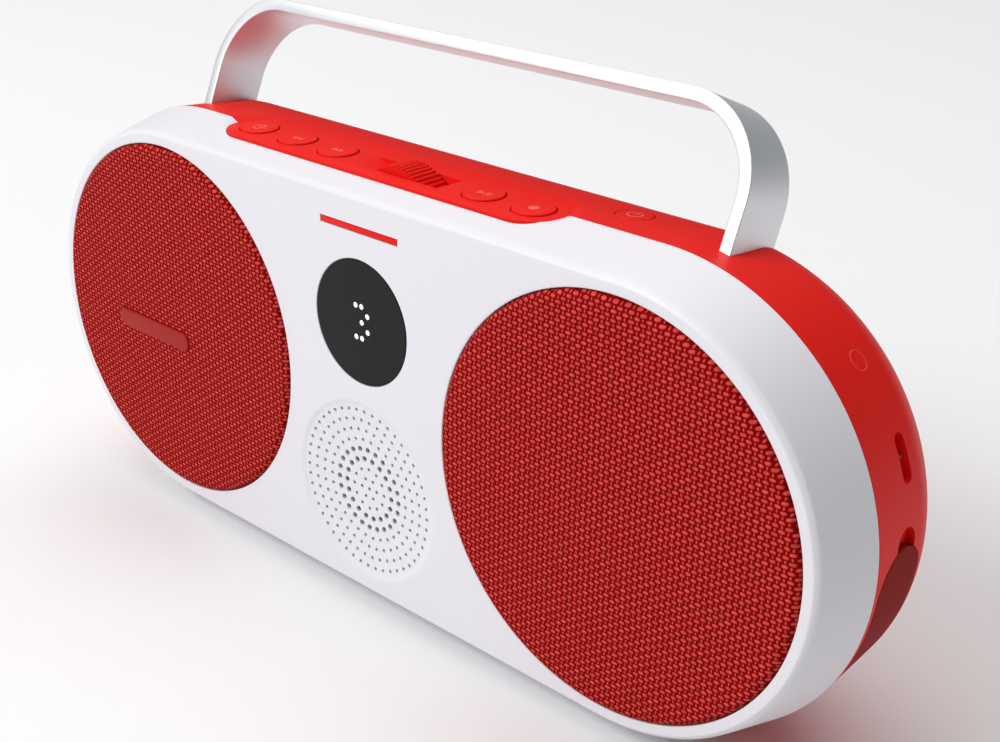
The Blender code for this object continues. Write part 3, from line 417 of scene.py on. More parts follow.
def rounded(low: Pair, high: Pair, radius: float, steps: int) -> list[Pair]:
    """A rectangle with rounded corners.

    Args:
        low: its corner with the least x and y.
        high: the opposite corner.
        radius: of each rounded corner.
        steps: how many straight pieces each corner has.

    Returns:
        The outline's points.
    """
    points = []
    for x, y, start in ((high[0] - radius, low[1] + radius, 270), (high[0] - radius, high[1] - radius, 0),
                        (low[0] + radius, high[1] - radius, 90), (low[0] + radius, low[1] + radius, 180)):
        points += arc((x, y), radius, start, start + 90, steps)
    return points


def stadium(left: float, right: float, radius: float, steps: int, level: float = 0.0) -> list[Pair]:
    """A long outline with round ends, whose arc centres are at left and right."""
    return arc((right, level), radius, -90, 90, steps) + arc((left, level), radius, 90, 270, steps)


def smooth(value: float) -> float:
    """A smooth step from 0 to 1 over the same range."""
    held = min(max(value, 0.0), 1.0)
    return held * held * (3.0 - 2.0 * held)


class Mould:
    """A mesh in the making, in the body's coordinates."""

    def __init__(self) -> None:
        """Starts empty."""
        self.bm = bmesh.new()

    def chain(self, points: Iterable[Sequence[float]], closed: bool = False) -> list[bmesh.types.BMEdge]:
        """Joins points with edges, and closes the chain if asked."""
        verts = [self.bm.verts.new(point) for point in points]
        ends = verts[1:] + verts[:1] if closed else verts[1:]
        return [self.bm.edges.new(pair) for pair in zip(verts, ends)]

    def turn(self, profile: Sequence[Pair], centre: Pair = (0.0, 0.0), steps: int = 48,
             upright: bool = False) -> None:
        """Spins a profile once round.

        Args:
            profile: (radius, position along the axis) points.
            centre: where the axis is, as (x, z), or as (x, y) when upright.
            steps: how many facets go round.
            upright: whether the axis is z instead of y.
        """
        a, b = centre
        if upright:
            places, pivot, axis = [(a + r, b, h) for r, h in profile], (a, b, 0.0), (0.0, 0.0, 1.0)
        else:
            places, pivot, axis = [(a + r, h, b) for r, h in profile], (a, 0.0, b), (0.0, 1.0, 0.0)
        edges = self.chain(places)
        verts = list({vert for edge in edges for vert in edge.verts})
        bmesh.ops.spin(
            self.bm, geom=verts + edges, cent=pivot, axis=axis, angle=math.tau, steps=steps,
            use_merge=True, use_duplicate=False,
        )

    def grow(self, edges: list, vector: Sequence[float]) -> list[bmesh.types.BMEdge]:
        """Extrudes edges by a vector, and hands back the moved edges."""
        made = bmesh.ops.extrude_edge_only(self.bm, edges=edges)["geom"]
        verts = {item for item in made if isinstance(item, bmesh.types.BMVert)}
        bmesh.ops.translate(self.bm, verts=list(verts), vec=vector)
        return [e for e in made if isinstance(e, bmesh.types.BMEdge) and set(e.verts) <= verts]

    def wrap(self, profile: Sequence[Pair], reach: float, steps: int, spans: int) -> None:
        """Carries a profile round the body's stadium outline.

        Args:
            profile: (half-height, depth) points.
            reach: x of the round ends' axes.
            steps: facets round each end.
            spans: pieces from each end's axis to the middle.
        """
        edges = self.chain([(reach, depth, -half) for half, depth in profile])
        verts = list({vert for edge in edges for vert in edge.verts})
        made = bmesh.ops.spin(
            self.bm, geom=verts + edges, cent=(reach, 0.0, 0.0), axis=(0.0, 1.0, 0.0),
            angle=-math.pi, steps=steps, use_duplicate=False,
        )["geom_last"]
        for row in (edges, [e for e in made if isinstance(e, bmesh.types.BMEdge)]):
            for _ in range(spans):
                row = self.grow(row, (-reach / spans, 0.0, 0.0))
        self.mirror()

    def mirror(self) -> None:
        """Adds the other half across x = 0 and joins the two."""
        geom = self.bm.verts[:] + self.bm.edges[:] + self.bm.faces[:]
        bmesh.ops.mirror(self.bm, geom=geom, matrix=Matrix.Identity(4), merge_dist=0.002 * MM, axis="X")

    def rim(self, depth: float) -> list[bmesh.types.BMEdge]:
        """The open edges that lie at one depth."""
        return [
            e for e in self.bm.edges
            if len(e.link_faces) < 2 and all(abs(v.co.y - depth) < 0.002 * MM for v in e.verts)
        ]

    def seal(self, depth: float) -> None:
        """Fills the flat area between all the open edges at one depth."""
        bmesh.ops.triangle_fill(self.bm, edges=self.rim(depth), use_beauty=True, normal=(0.0, -1.0, 0.0))

    def prism(self, outline: Sequence[Pair], low: float, high: float, along: str = "Y") -> list:
        """Extrudes an outline along one axis.

        Args:
            outline: points in the other two axes.
            low: where it starts.
            high: where it ends.
            along: the axis it runs along.

        Returns:
            The vertices of the prism.
        """
        lift: dict[str, Callable[[float, float, float], Sequence[float]]] = {
            "X": lambda a, b, h: (h, a, b), "Y": lambda a, b, h: (a, h, b), "Z": lambda a, b, h: (a, b, h),
        }
        base = self.bm.faces.new([self.bm.verts.new(lift[along](a, b, low)) for a, b in outline])
        made = bmesh.ops.extrude_face_region(self.bm, geom=[base])["geom"]
        moved = [item for item in made if isinstance(item, bmesh.types.BMVert)]
        bmesh.ops.translate(self.bm, verts=moved, vec=lift[along](0.0, 0.0, high - low))
        return list(base.verts) + moved

    def slice(self, normal: Sequence[float], places: Iterable[float]) -> None:
        """Cuts every face along planes at those places, keeping both sides."""
        for place in places:
            geom = self.bm.verts[:] + self.bm.edges[:] + self.bm.faces[:]
            point = tuple(place * part for part in normal)
            bmesh.ops.bisect_plane(self.bm, geom=geom, plane_co=point, plane_no=normal, dist=1e-7)

    def bevel(self, edges: Iterable, width: float, segments: int = 3) -> None:
        """Rounds those edges."""
        bmesh.ops.bevel(
            self.bm, geom=list(edges), offset=width, segments=segments, profile=0.5,
            affect="EDGES", material=-1, clamp_overlap=True,
        )

    def creases(self, angle: float = 40.0) -> list[bmesh.types.BMEdge]:
        """The edges that turn more than an angle in degrees."""
        self.bm.normal_update()
        limit = math.radians(angle)
        return [e for e in self.bm.edges if len(e.link_faces) == 2 and e.calc_face_angle(0.0) > limit]

    def move(self, matrix: Matrix) -> "Mould":
        """Moves the whole mesh, and hands it back."""
        bmesh.ops.transform(self.bm, matrix=matrix, verts=self.bm.verts[:])
        return self

    def mesh(self, name: str) -> bpy.types.Mesh:
        """Merges doubles, turns every face outwards and ends the making."""
        bmesh.ops.remove_doubles(self.bm, verts=self.bm.verts[:], dist=0.002 * MM)
        bmesh.ops.recalc_face_normals(self.bm, faces=self.bm.faces[:])
        made = bpy.data.meshes.new(name)
        self.bm.to_mesh(made)
        self.bm.free()
        return made


class Workshop:
    """Turns finished moulds into dressed pieces that ride on the frame."""

    def __init__(self) -> None:
        """Takes the body's place from the white housing's box."""
        low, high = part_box("front_housing")
        self.datum = Matrix.Translation((0.0, low.y, (low.z + high.z) / 2))

    def plain(self, name: str, mould: Mould) -> bpy.types.Object:
        """An object in its place, without finish or body."""
        made = bpy.data.objects.new(name, mould.mesh(name))
        made.data.transform(self.datum)
        bpy.context.scene.collection.objects.link(made)
        return made

    def carve(self, target: bpy.types.Object, cutters: Iterable[Mould]) -> None:
        """Cuts moulds out of an object and keeps the result as its mesh."""
        tools = [self.plain(f"{target.name}_cut", cutter) for cutter in cutters]
        for tool in tools:
            step = target.modifiers.new("cut", "BOOLEAN")
            step.operation = "DIFFERENCE"
            step.solver = "EXACT"
            step.object = tool
        graph = bpy.context.evaluated_depsgraph_get()
        baked = bpy.data.meshes.new_from_object(target.evaluated_get(graph))
        target.modifiers.clear()
        target.data = baked
        for tool in tools:
            bpy.data.objects.remove(tool)

    def finish(self, made: bpy.types.Object, slot: Slot, body: str = HOUSING,
               replaces: Sequence[str] = (), finish: Optional[Finish] = None) -> bpy.types.Object:
        """Shades, dresses and mounts a piece.

        Args:
            made: the piece.
            slot: the record's slot it takes its finish from.
            body: the body it rides on.
            replaces: CAD nodes it stands for.
            finish: a finish of its own, if it isn't the slot's.

        Returns:
            The same piece.
        """
        made.data.shade_smooth()
        made.data.set_sharp_from_angle(angle=SHARP)
        made.data.materials.clear()
        made.data.materials.append(finished(finish or slot.value))
        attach(made, body)
        if replaces:
            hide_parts(*replaces)
        LOG.info("%s: %d faces", made.name, len(made.data.polygons))
        return made

    def piece(self, name: str, mould: Mould, slot: Slot, body: str = HOUSING,
              replaces: Sequence[str] = (), finish: Optional[Finish] = None) -> bpy.types.Object:
        """Makes, dresses and mounts a piece in one go."""
        return self.finish(self.plain(name, mould), slot, body, replaces, finish)


# --- The body's sizes ---------------------------------------------------------------------------


@dataclass
class Body:
    """The sizes that the housings share."""

    half: float = 76.15 * MM
    reach: float = 103.85 * MM
    seam: float = 21.5 * MM
    gap: float = 0.05 * MM
    face_half: float = 70.07 * MM
    front_half: float = 71.5 * MM
    edge: float = 1.5 * MM
    depth: float = 85.0 * MM
    shoulder: float = 46.0 * MM
    back_half: float = 20.0 * MM
    draft: float = 0.09
    power: float = 1.6
    pad_top: float = 74.55 * MM
    pad_bottom: float = 70.55 * MM
    pad_y: float = 22.0 * MM
    pad_left: float = -74.8 * MM
    pad_right: float = 54.2 * MM
    pad_radius: float = 11.5 * MM
    blend: float = 3.4 * MM
    power_place: Pair = (79.0 * MM, 38.7 * MM)
    power_hole: float = 6.1 * MM
    power_cap: float = 5.8 * MM

    def dip(self, mould: "Mould") -> None:
        """Lowers a wall softly to the pad's height all round the pad."""
        for vert in mould.bm.verts:
            away = self.pad_distance(vert.co.x, vert.co.y)
            if vert.co.z > self.pad_top and away < self.blend:
                vert.co.z = self.pad_top + (vert.co.z - self.pad_top) * smooth(away / self.blend)

    def shell(self, depth: float) -> float:
        """The red shell's half-height at a depth."""
        straight = self.half - self.draft * (min(depth, self.shoulder) - self.seam)
        if depth <= self.shoulder:
            return straight
        share = min((depth - self.shoulder) / (self.depth - self.shoulder), 1.0)
        drop = max(1.0 - share ** self.power, 0.0) ** (1.0 / self.power)
        return self.back_half + (straight - self.back_half) * drop

    def pad(self, grow: float = 0.0, steps: int = 32) -> list[Pair]:
        """The control pad's outline seen from above."""
        return stadium(self.pad_left, self.pad_right, self.pad_radius + grow, steps, self.pad_y)

    def pad_distance(self, x: float, y: float) -> float:
        """How far a point seen from above is outside the pad's outline."""
        nearest = min(max(x, self.pad_left), self.pad_right)
        return math.hypot(x - nearest, y - self.pad_y) - self.pad_radius

    def end_turn(self, angle: float) -> Matrix:
        """Carries a shape drawn at the right end's middle round to an angle in degrees."""
        middle = Matrix.Translation((self.reach, 0.0, 0.0))
        return middle @ Matrix.Rotation(-math.radians(angle), 4, "Y")

    def end_patch(self, outline: Sequence[Pair], inset: float, thickness: float) -> Mould:
        """A slab that follows the right end's wall.

        Args:
            outline: (depth, height) points about the end's axis.
            inset: how far inside the wall its inner face is.
            thickness: from its inner face outwards.

        Returns:
            The slab, drawn about the end's axis.
        """
        mould = Mould()
        mould.bm.faces.new([mould.bm.verts.new((0.0, y, z)) for y, z in outline])
        depths, heights = zip(*outline)
        for normal, values in (((0, 0, 1), heights), ((0, 1, 0), depths)):
            low, high = min(values), max(values)
            count = max(int((high - low) / (1.2 * MM)), 1)
            mould.slice(normal, [low + (high - low) * i / count for i in range(1, count)])
        for vert in mould.bm.verts:
            outer = self.shell(vert.co.y)
            radius = outer - inset
            vert.co.z *= radius / outer
            vert.co.x = math.sqrt(radius * radius - vert.co.z ** 2)
        made = bmesh.ops.extrude_face_region(mould.bm, geom=mould.bm.faces[:])["geom"]
        for vert in (item for item in made if isinstance(item, bmesh.types.BMVert)):
            flat = Vector((vert.co.x, 0.0, vert.co.z)).normalized()
            vert.co += flat * thickness
        return mould


# --- Sub-assemblies -----------------------------------------------------------------------------


@dataclass
class FrontHousing:
    """The white front with its speaker wells, window, strip recess and perforated dish."""

    body: Body
    grille: float = 66.77 * MM
    well_depth: float = 4.2 * MM
    throat: float = 55.47 * MM
    wall: float = 2.6 * MM
    plate: float = 8.0 * MM
    skin: float = 3.0 * MM
    window: float = 21.53 * MM
    window_z: float = 28.97 * MM
    window_depth: float = 2.0 * MM
    ledge: float = 19.4 * MM
    field: float = 33.1 * MM
    field_z: float = -32.29 * MM
    dish: float = 0.6 * MM
    hollow: float = 1.6 * MM
    dish_flat: float = 30.5 * MM
    pitch: float = 3.67 * MM
    rings: int = 8
    fine_hole: float = 0.70 * MM
    wide_hole: float = 1.08 * MM
    wide_rings: tuple[int, int] = (3, 4)
    strip: Pair = (36.2 * MM, 2.5 * MM)
    strip_z: float = 60.57 * MM
    strip_depth: float = 0.9 * MM
    fillet: float = 0.35 * MM
    holding: float = 0.4 * MM
    behind: float = 0.15 * MM
    stations: tuple[float, ...] = (13.5, 14.6, 15.6, 16.6, 17.6, 18.6, 19.6, 20.4)

    def outer(self) -> list[Pair]:
        """(half-height, depth) of the wall, from the face round the seam edge to the plate's back."""
        body = self.body
        slope = (body.half - body.front_half) / (body.seam - body.edge)
        inside = body.front_half + slope * (self.plate - body.edge) - self.wall
        return [
            (body.face_half - 0.9 * MM, 0.0), (body.face_half - 0.45 * MM, 0.0),
            (body.face_half - 0.1 * MM, 0.04 * MM), (body.face_half + 0.2 * MM, 0.21 * MM),
            (body.front_half - 0.25 * MM, 1.22 * MM), (body.front_half - 0.02 * MM, 1.62 * MM),
            (body.front_half + 0.12 * MM, 2.1 * MM), (body.front_half + slope * 4.0 * MM, 5.5 * MM),
            *[(body.front_half + slope * (y * MM - body.edge), y * MM) for y in self.stations],
            (body.half - 0.08 * MM, body.seam - 0.35 * MM),
            (body.half - 0.02 * MM, body.seam - 0.15 * MM), (body.half - 0.16 * MM, body.seam),
            (body.half - self.wall, body.seam), (inside, self.plate),
        ]

    def lip(self, radius: float) -> list[Pair]:
        """A hole's holding ring and rounded lip, from the plate inwards."""
        start = radius + self.fillet
        bend = arc((start, self.fillet), self.fillet, 270, 180, 3)
        return [(start + self.holding, 0.0)] + bend

    def holes(self) -> list[tuple[float, float, float]]:
        """(x, z, radius) of each perforation."""
        found = [(0.0, self.field_z, self.fine_hole)]
        for ring in range(1, self.rings + 1):
            radius = self.wide_hole if ring in self.wide_rings else self.fine_hole
            for i in range(6 * ring):
                turn = math.tau * i / (6 * ring)
                out = ring * self.pitch
                found.append((out * math.cos(turn), self.field_z + out * math.sin(turn), radius))
        return found

    def build(self, shop: Workshop) -> None:
        """Makes the housing as one closed shell and cuts the pad's notch out of it."""
        mould = Mould()
        mould.wrap(self.outer(), self.body.reach, 96, 72)
        self.body.dip(mould)
        for side in (-1, 1):
            floor = [(self.grille, self.well_depth), (self.throat, self.well_depth),
                     (self.throat, self.plate)]
            mould.turn(self.lip(self.grille) + floor, (side * self.body.reach, 0.0), 128)
        pocket = self.window + self.behind
        step = [(self.window, self.window_depth), (self.ledge, self.window_depth), (self.ledge, self.skin),
                (pocket, self.skin), (pocket, self.plate)]
        mould.turn(self.lip(self.window) + step, (0.0, self.window_z), 96)
        soft = [(self.dish_flat + (self.field - self.dish_flat) * (1.0 - i / 8), self.dish * smooth(i / 8))
                for i in range(9)]
        mould.turn([(self.field + self.holding, 0.0)] + soft + [(self.dish_flat - self.holding, self.dish)],
                   (0.0, self.field_z), 96)
        mould.turn([(self.dish_flat, self.skin), (self.dish_flat + self.holding, self.skin),
                    (self.dish_flat + self.holding, self.plate)], (0.0, self.field_z), 96)
        self.strip_recess(mould)
        for x, z, radius in self.holes():
            rim = [(x + a, self.dish, z + b) for a, b in arc((0.0, 0.0), radius, 0, 330, 11)]
            edges = mould.chain(rim, True)
            mould.grow(edges, (0.0, self.skin - self.dish, 0.0))
        for depth in (0.0, self.dish, self.skin, self.plate):
            mould.seal(depth)
        for vert in mould.bm.verts:
            share = math.hypot(vert.co.x, vert.co.z - self.field_z) / self.dish_flat
            if share < 1.0 and abs(vert.co.y - self.dish) < 0.01 * MM:
                vert.co.y += self.hollow * (1.0 - share * share)
        made = shop.plain("white_front", mould)
        notch = Mould()
        notch.prism(self.body.pad(0.3 * MM), self.body.pad_bottom - 0.3 * MM, self.body.half + 9 * MM, "Z")
        shop.carve(made, [notch])
        shop.finish(made, Slot.WHITE_PLASTIC, replaces=["front_housing"])

    def strip_recess(self, mould: Mould) -> None:
        """The shallow slot that the strip sits in."""
        width, height = self.strip[0] / 2, self.strip[1] / 2
        corners = [(-width, -height), (width, -height), (width, height), (-width, height)]
        top = mould.chain([(x, 0.0, self.strip_z + z) for x, z in corners], True)
        bottom = mould.grow(top, (0.0, self.strip_depth, 0.0))
        bmesh.ops.contextual_create(mould.bm, geom=bottom)


@dataclass
class RearHousing:
    """The red shell with its soft dip round the pad, and the cuts for handle, button, strap and door."""

    body: Body
    wall: float = 4.2 * MM
    strap_angle: float = 21.9
    strap_y: float = 40.2 * MM
    strap: Pair = (14.5 * MM, 4.8 * MM)
    strap_depth: float = 3.8 * MM
    mark_angle: float = 44.3
    mark_y: float = 38.3 * MM
    door_angle: float = -15.4
    door_y: float = 35.5 * MM
    door: Pair = (47.0 * MM, 23.6 * MM)
    door_depth: float = 2.3 * MM
    notch: tuple[float, float, float] = (37.5 * MM, 23.5 * MM, 5.2 * MM)
    usb: tuple[float, float, float] = (-8.0 * MM, 2.9 * MM, 1.9 * MM)
    jack: Pair = (-27.0 * MM, 4.2 * MM)

    def profile(self) -> list[Pair]:
        """(half-height, depth) of the outside, from the seam to the flat back."""
        body = self.body
        start = body.seam + body.gap
        points = [(body.shell(start) - 0.12 * MM, start), (body.shell(start) - 0.01 * MM, start + 0.12 * MM)]
        points += [(body.shell(y * MM), y * MM) for y in [22.3 + 0.7 * i for i in range(25)]]
        points += [(body.shell(y * MM), y * MM) for y in (41.0, 42.5, 44.0, 46.0)]
        straight = body.shell(body.shoulder)
        for i in range(1, 27):
            turn = math.pi / 2 * i / 26
            share = 2 / body.power
            depth = body.shoulder + (body.depth - body.shoulder) * math.sin(turn) ** share
            half = body.back_half + (straight - body.back_half) * max(math.cos(turn), 0.0) ** share
            points.append((half, depth))
        return points + [(body.back_half - 0.6 * MM, body.depth)]

    def upright_stadium(self, size: Pair, depth: float, grow: float, steps: int = 24) -> list[Pair]:
        """A standing outline with round ends, as (depth, height) points."""
        straight = (size[0] - size[1]) / 2
        flat = stadium(-straight, straight, size[1] / 2 + grow, steps, depth)
        return [(b, a) for a, b in reversed(flat)]

    def cutters(self, handle: "Handle") -> list[Mould]:
        """Every cut in the shell."""
        body = self.body
        pad, well, socket, jack, strap = Mould(), Mould(), Mould(), Mould(), Mould()
        pad.prism(body.pad(0.04 * MM), 55 * MM, 90 * MM, "Z")
        well.prism(arc(body.power_place, body.power_hole, 0, 352.5, 47), 55 * MM, 90 * MM, "Z")
        outer = body.shell(self.strap_y)
        opening = self.upright_stadium(self.strap, self.strap_y, 0.0)
        strap.prism(opening, outer - self.strap_depth, outer + 9 * MM, "X")
        strap.move(body.end_turn(self.strap_angle))
        door = body.end_patch(self.upright_stadium(self.door, self.door_y, 0.3 * MM), self.door_depth, 9 * MM)
        door.move(body.end_turn(self.door_angle))
        y, z, radius = self.notch
        notch = body.end_patch(arc((y, z), radius, 0, 350, 35), self.door_depth, 9 * MM)
        notch.move(body.end_turn(self.door_angle))
        z, half, radius = self.usb
        slot = stadium(z - half, z + half, radius, 12, self.door_y)
        socket.prism([(b, a) for a, b in reversed(slot)], body.reach, body.reach + body.half, "X")
        z, radius = self.jack
        jack.prism(arc((self.door_y, z), radius, 0, 350, 35), body.reach, body.reach + body.half, "X")
        return [pad, well, strap, door, notch, socket, jack, *handle.slots()]

    def build(self, shop: Workshop, handle: "Handle") -> None:
        """Makes the shell with its dip, gives it a wall and cuts it."""
        body = self.body
        mould = Mould()
        mould.wrap(self.profile(), body.reach, 96, 72)
        mould.seal(body.depth)
        body.dip(mould)
        made = shop.plain("red_shell", mould)
        thick = made.modifiers.new("wall", "SOLIDIFY")
        thick.thickness = self.wall
        thick.offset = -1.0
        shop.carve(made, self.cutters(handle))
        shop.finish(made, Slot.RED_PLASTIC, replaces=["rear_housing"])
        self.build_mark(shop)
        self.build_door(shop)
        self.build_pin(shop)

    def build_mark(self, shop: Workshop) -> None:
        """A plain raised ring on the right end, above the strap slot."""
        mould = Mould()
        ring, thin, proud = 3.1 * MM, 0.32 * MM, 0.12 * MM
        outer = self.body.shell(self.mark_y)
        round_wire = [(ring + a, b) for a, b in arc((0.0, 0.0), thin, 0, 360, 12)]
        mould.turn(round_wire, (0.0, 0.0), 48, upright=True)
        stud = [(0.0, proud), (0.9 * MM, proud), (1.15 * MM, 0.0), (1.15 * MM, -0.3 * MM)]
        mould.turn(stud, (0.0, 0.0), 32, True)
        place = self.body.end_turn(self.mark_angle)
        place = place @ Matrix.Translation((outer - 0.1 * MM, self.mark_y, 0.0))
        tilt = Matrix.Rotation(math.atan(self.body.draft), 4, "Z") @ Matrix.Rotation(math.pi / 2, 4, "Y")
        flatten = Matrix.Diagonal((1.0, 1.0, proud / thin * 1.6, 1.0))
        shop.piece("end_mark", mould.move(place @ tilt @ flatten), Slot.RED_PLASTIC, finish=MARK)

    def build_door(self, shop: Workshop) -> None:
        """The rubber port door, which follows the shell's curve and thins towards its hinge."""
        outline = self.upright_stadium(self.door, self.door_y, 0.0)
        mould = self.body.end_patch(outline, 2.0 * MM, 2.0 * MM)
        for vert in mould.bm.verts:
            flat = Vector((vert.co.x, 0.0, vert.co.z))
            if self.body.shell(vert.co.y) - flat.length > 1.0 * MM:
                vert.co += flat.normalized() * (1.3 * MM * smooth((-vert.co.z - 19.0 * MM) / (3.5 * MM)))
        mould.bevel(mould.creases(60.0), 0.3 * MM, 2)
        mould.move(self.body.end_turn(self.door_angle))
        shop.piece("port_flap", mould, Slot.RED_RUBBER, "port_door", ["port_door"])

    def build_pin(self, shop: Workshop) -> None:
        """The thin bar across the strap slot."""
        mould = Mould()
        half = self.strap[1] / 2 - 0.3 * MM
        depth = self.body.shell(self.strap_y) - 2.4 * MM
        mould.turn([(0.0, -half), (0.6 * MM, -half), (0.6 * MM, half), (0.0, half)], (0.0, 0.0), 24)
        mould.move(self.body.end_turn(self.strap_angle) @ Matrix.Translation((depth, self.strap_y, 0.0)))
        shop.piece("strap_bar", mould, Slot.STEEL, replaces=["strap_pin"])


@dataclass
class Handle:
    """The flat strip bent over the body."""

    body: Body
    lean: float = 22.93
    pivot: float = 40.0 * MM
    rise: float = 38.8 * MM
    low: float = -8.07 * MM
    width: float = 20.9 * MM
    thickness: float = 4.15 * MM
    radius: float = 28.2 * MM
    outset: float = 14.9 * MM
    tail: float = 20.0 * MM
    edge: float = 0.4 * MM

    def placing(self) -> Matrix:
        """Sets the strip's own drawing on the body, leaning back."""
        place = Matrix.Translation((0.0, self.pivot, self.body.shell(self.pivot)))
        return place @ Matrix.Rotation(-math.radians(self.lean), 4, "X")

    def section(self) -> list[Pair]:
        """The strip's cross-section at the right leg, as (x, y) points with rounded edges."""
        outer = self.body.reach + self.outset
        low, high = (outer - self.thickness, self.low), (outer, self.low + self.width)
        return rounded(low, high, self.edge, 4)

    def slots(self) -> list[Mould]:
        """The cuts that the legs pass through."""
        cuts = []
        outer = self.body.reach + self.outset + 0.08 * MM
        inner = outer - self.thickness - 0.16 * MM
        low, high = self.low - 0.08 * MM, self.low + self.width + 0.08 * MM
        for side in (-1, 1):
            mould = Mould()
            corners = [(side * inner, low), (side * outer, low), (side * outer, high), (side * inner, high)]
            mould.prism(corners, -self.tail, self.tail, "Z")
            cuts.append(mould.move(self.placing()))
        return cuts

    def build(self, shop: Workshop) -> None:
        """Grows the strip up a leg, round the corner and across, then mirrors it."""
        mould = Mould()
        row = mould.chain([(x, y, -self.tail) for x, y in self.section()], True)
        straight = self.rise - self.radius + self.tail
        for _ in range(4):
            row = mould.grow(row, (0.0, 0.0, straight / 4))
        centre = (self.body.reach + self.outset - self.radius, 0.0, self.rise - self.radius)
        verts = list({vert for edge in row for vert in edge.verts})
        turned = bmesh.ops.spin(
            mould.bm, geom=verts + row, cent=centre, axis=(0.0, 1.0, 0.0), angle=-math.pi / 2, steps=32,
            use_duplicate=False,
        )["geom_last"]
        row = [item for item in turned if isinstance(item, bmesh.types.BMEdge)]
        for _ in range(6):
            row = mould.grow(row, (-centre[0] / 6, 0.0, 0.0))
        mould.mirror()
        ends = [e for e in mould.bm.edges if e.is_boundary]
        bmesh.ops.holes_fill(mould.bm, edges=ends, sides=0)
        shop.piece("carry_strip", mould.move(self.placing()), Slot.HANDLE_ALUMINIUM, replaces=["handle"])


@dataclass
class SpeakerCovers:
    """The two cloth covers and the plain bar on the left one."""

    body: Body
    radius: float = 66.47 * MM
    proud: float = 1.4 * MM
    round: float = 2.6 * MM
    back: float = 3.9 * MM
    cloth: float = 0.6 * MM
    wrap: float = 4.7 * MM
    badge: Pair = (43.0 * MM, 7.0 * MM)
    badge_place: Pair = (-114.75 * MM, -5.6 * MM)
    badge_thickness: float = 0.7 * MM

    def build(self, shop: Workshop) -> None:
        """Makes both covers and the bar."""
        for word, side in (("left", -1), ("right", 1)):
            self.build_cover(shop, word, side)
        self.build_badge(shop)

    def build_cover(self, shop: Workshop, word: str, side: int) -> None:
        """One sheet of cloth pulled flat over its ring and turned round the rim."""
        flat = self.radius - self.round
        rings = [(flat * i / 16, -self.proud) for i in range(17)]
        bend = [(flat + a, b - self.proud + self.round) for a, b in arc((0.0, 0.0), self.round, -85, 0, 8)]
        mould = Mould()
        mould.turn(rings + bend + [(self.radius, self.back)], (side * self.body.reach, 0.0), 144)
        name = f"fabric_cover_{word}"
        made = shop.piece(f"cloth_{word}", mould, Slot.RED_FABRIC, replaces=[name])
        thick = made.modifiers.new("cloth", "SOLIDIFY")
        thick.thickness = self.cloth
        thick.offset = -1.0

    def build_badge(self, shop: Workshop) -> None:
        """A plain raised bar, with nothing written on it."""
        straight = (self.badge[0] - self.badge[1]) / 2
        back = -self.proud - 0.02 * MM
        x, z = self.badge_place
        mould = Mould()
        outline = stadium(x - straight, x + straight, self.badge[1] / 2, 20, z)
        mould.prism(outline, back - self.badge_thickness - 0.26 * MM, back)
        front = [e for e in mould.creases() if all(v.co.y < back - 0.3 * MM for v in e.verts)]
        mould.bevel(front, 0.5 * MM, 4)
        shop.piece("plain_bar", mould, Slot.RED_PLASTIC, replaces=["badge"], finish=BAR)


@dataclass
class Display:
    """The dark window, its lit dots and the strip above it."""

    radius: float = 21.38 * MM
    level: float = 28.97 * MM
    thickness: float = 1.7 * MM
    dot: float = 0.92 * MM
    pitch: float = 2.75 * MM
    middle: Pair = (0.7 * MM, 29.3 * MM)
    lit: tuple[str, ...] = ("110", "001", "010", "001", "110")
    strip: tuple[float, float, float] = (35.6 * MM, 1.9 * MM, 60.57 * MM)

    def build(self, shop: Workshop) -> None:
        """Makes the window, the dots of the figure and the strip."""
        lens = Mould()
        edge = arc((self.radius - 0.25 * MM, 0.25 * MM), 0.25 * MM, -90, 0, 3)
        lens.turn([(0.0, 0.0), (self.radius - 0.8 * MM, 0.0), *edge, (self.radius, self.thickness),
                   (0.0, self.thickness)], (0.0, self.level), 96)
        shop.piece("round_window", lens, Slot.DISPLAY_GLASS, replaces=["display_lens"])
        dots = Mould()
        for row, line in enumerate(self.lit):
            for column, on in enumerate(line):
                if on == "1":
                    place = (self.middle[0] + (column - 1) * self.pitch,
                             self.middle[1] + (2 - row) * self.pitch)
                    crown = [(self.dot * math.sin(t), -0.09 * MM * math.cos(t))
                             for t in (0.0, 0.5, 1.0, math.pi / 2)]
                    dots.turn(crown + [(self.dot, 0.1 * MM), (0.0, 0.1 * MM)], place, 24)
        shop.piece("lit_dots", dots, Slot.LIGHT_DIFFUSER)
        width, height, level = self.strip
        strip = Mould()
        corners = [(-width / 2, level - height / 2), (width / 2, level - height / 2),
                   (width / 2, level + height / 2), (-width / 2, level + height / 2)]
        strip.prism(corners, 0.02 * MM, 0.6 * MM)
        strip.bevel([e for e in strip.creases() if all(v.co.y < 0.3 * MM for v in e.verts)], 0.12 * MM, 2)
        shop.piece("status_strip", strip, Slot.RED_PLASTIC, replaces=["accent_strip"])


class Symbol(Enum):
    """What stands on a button."""

    RING = "ring"
    BACK = "back"
    ON = "on"
    PLAY = "play"
    DOT = "dot"
    POWER = "power"


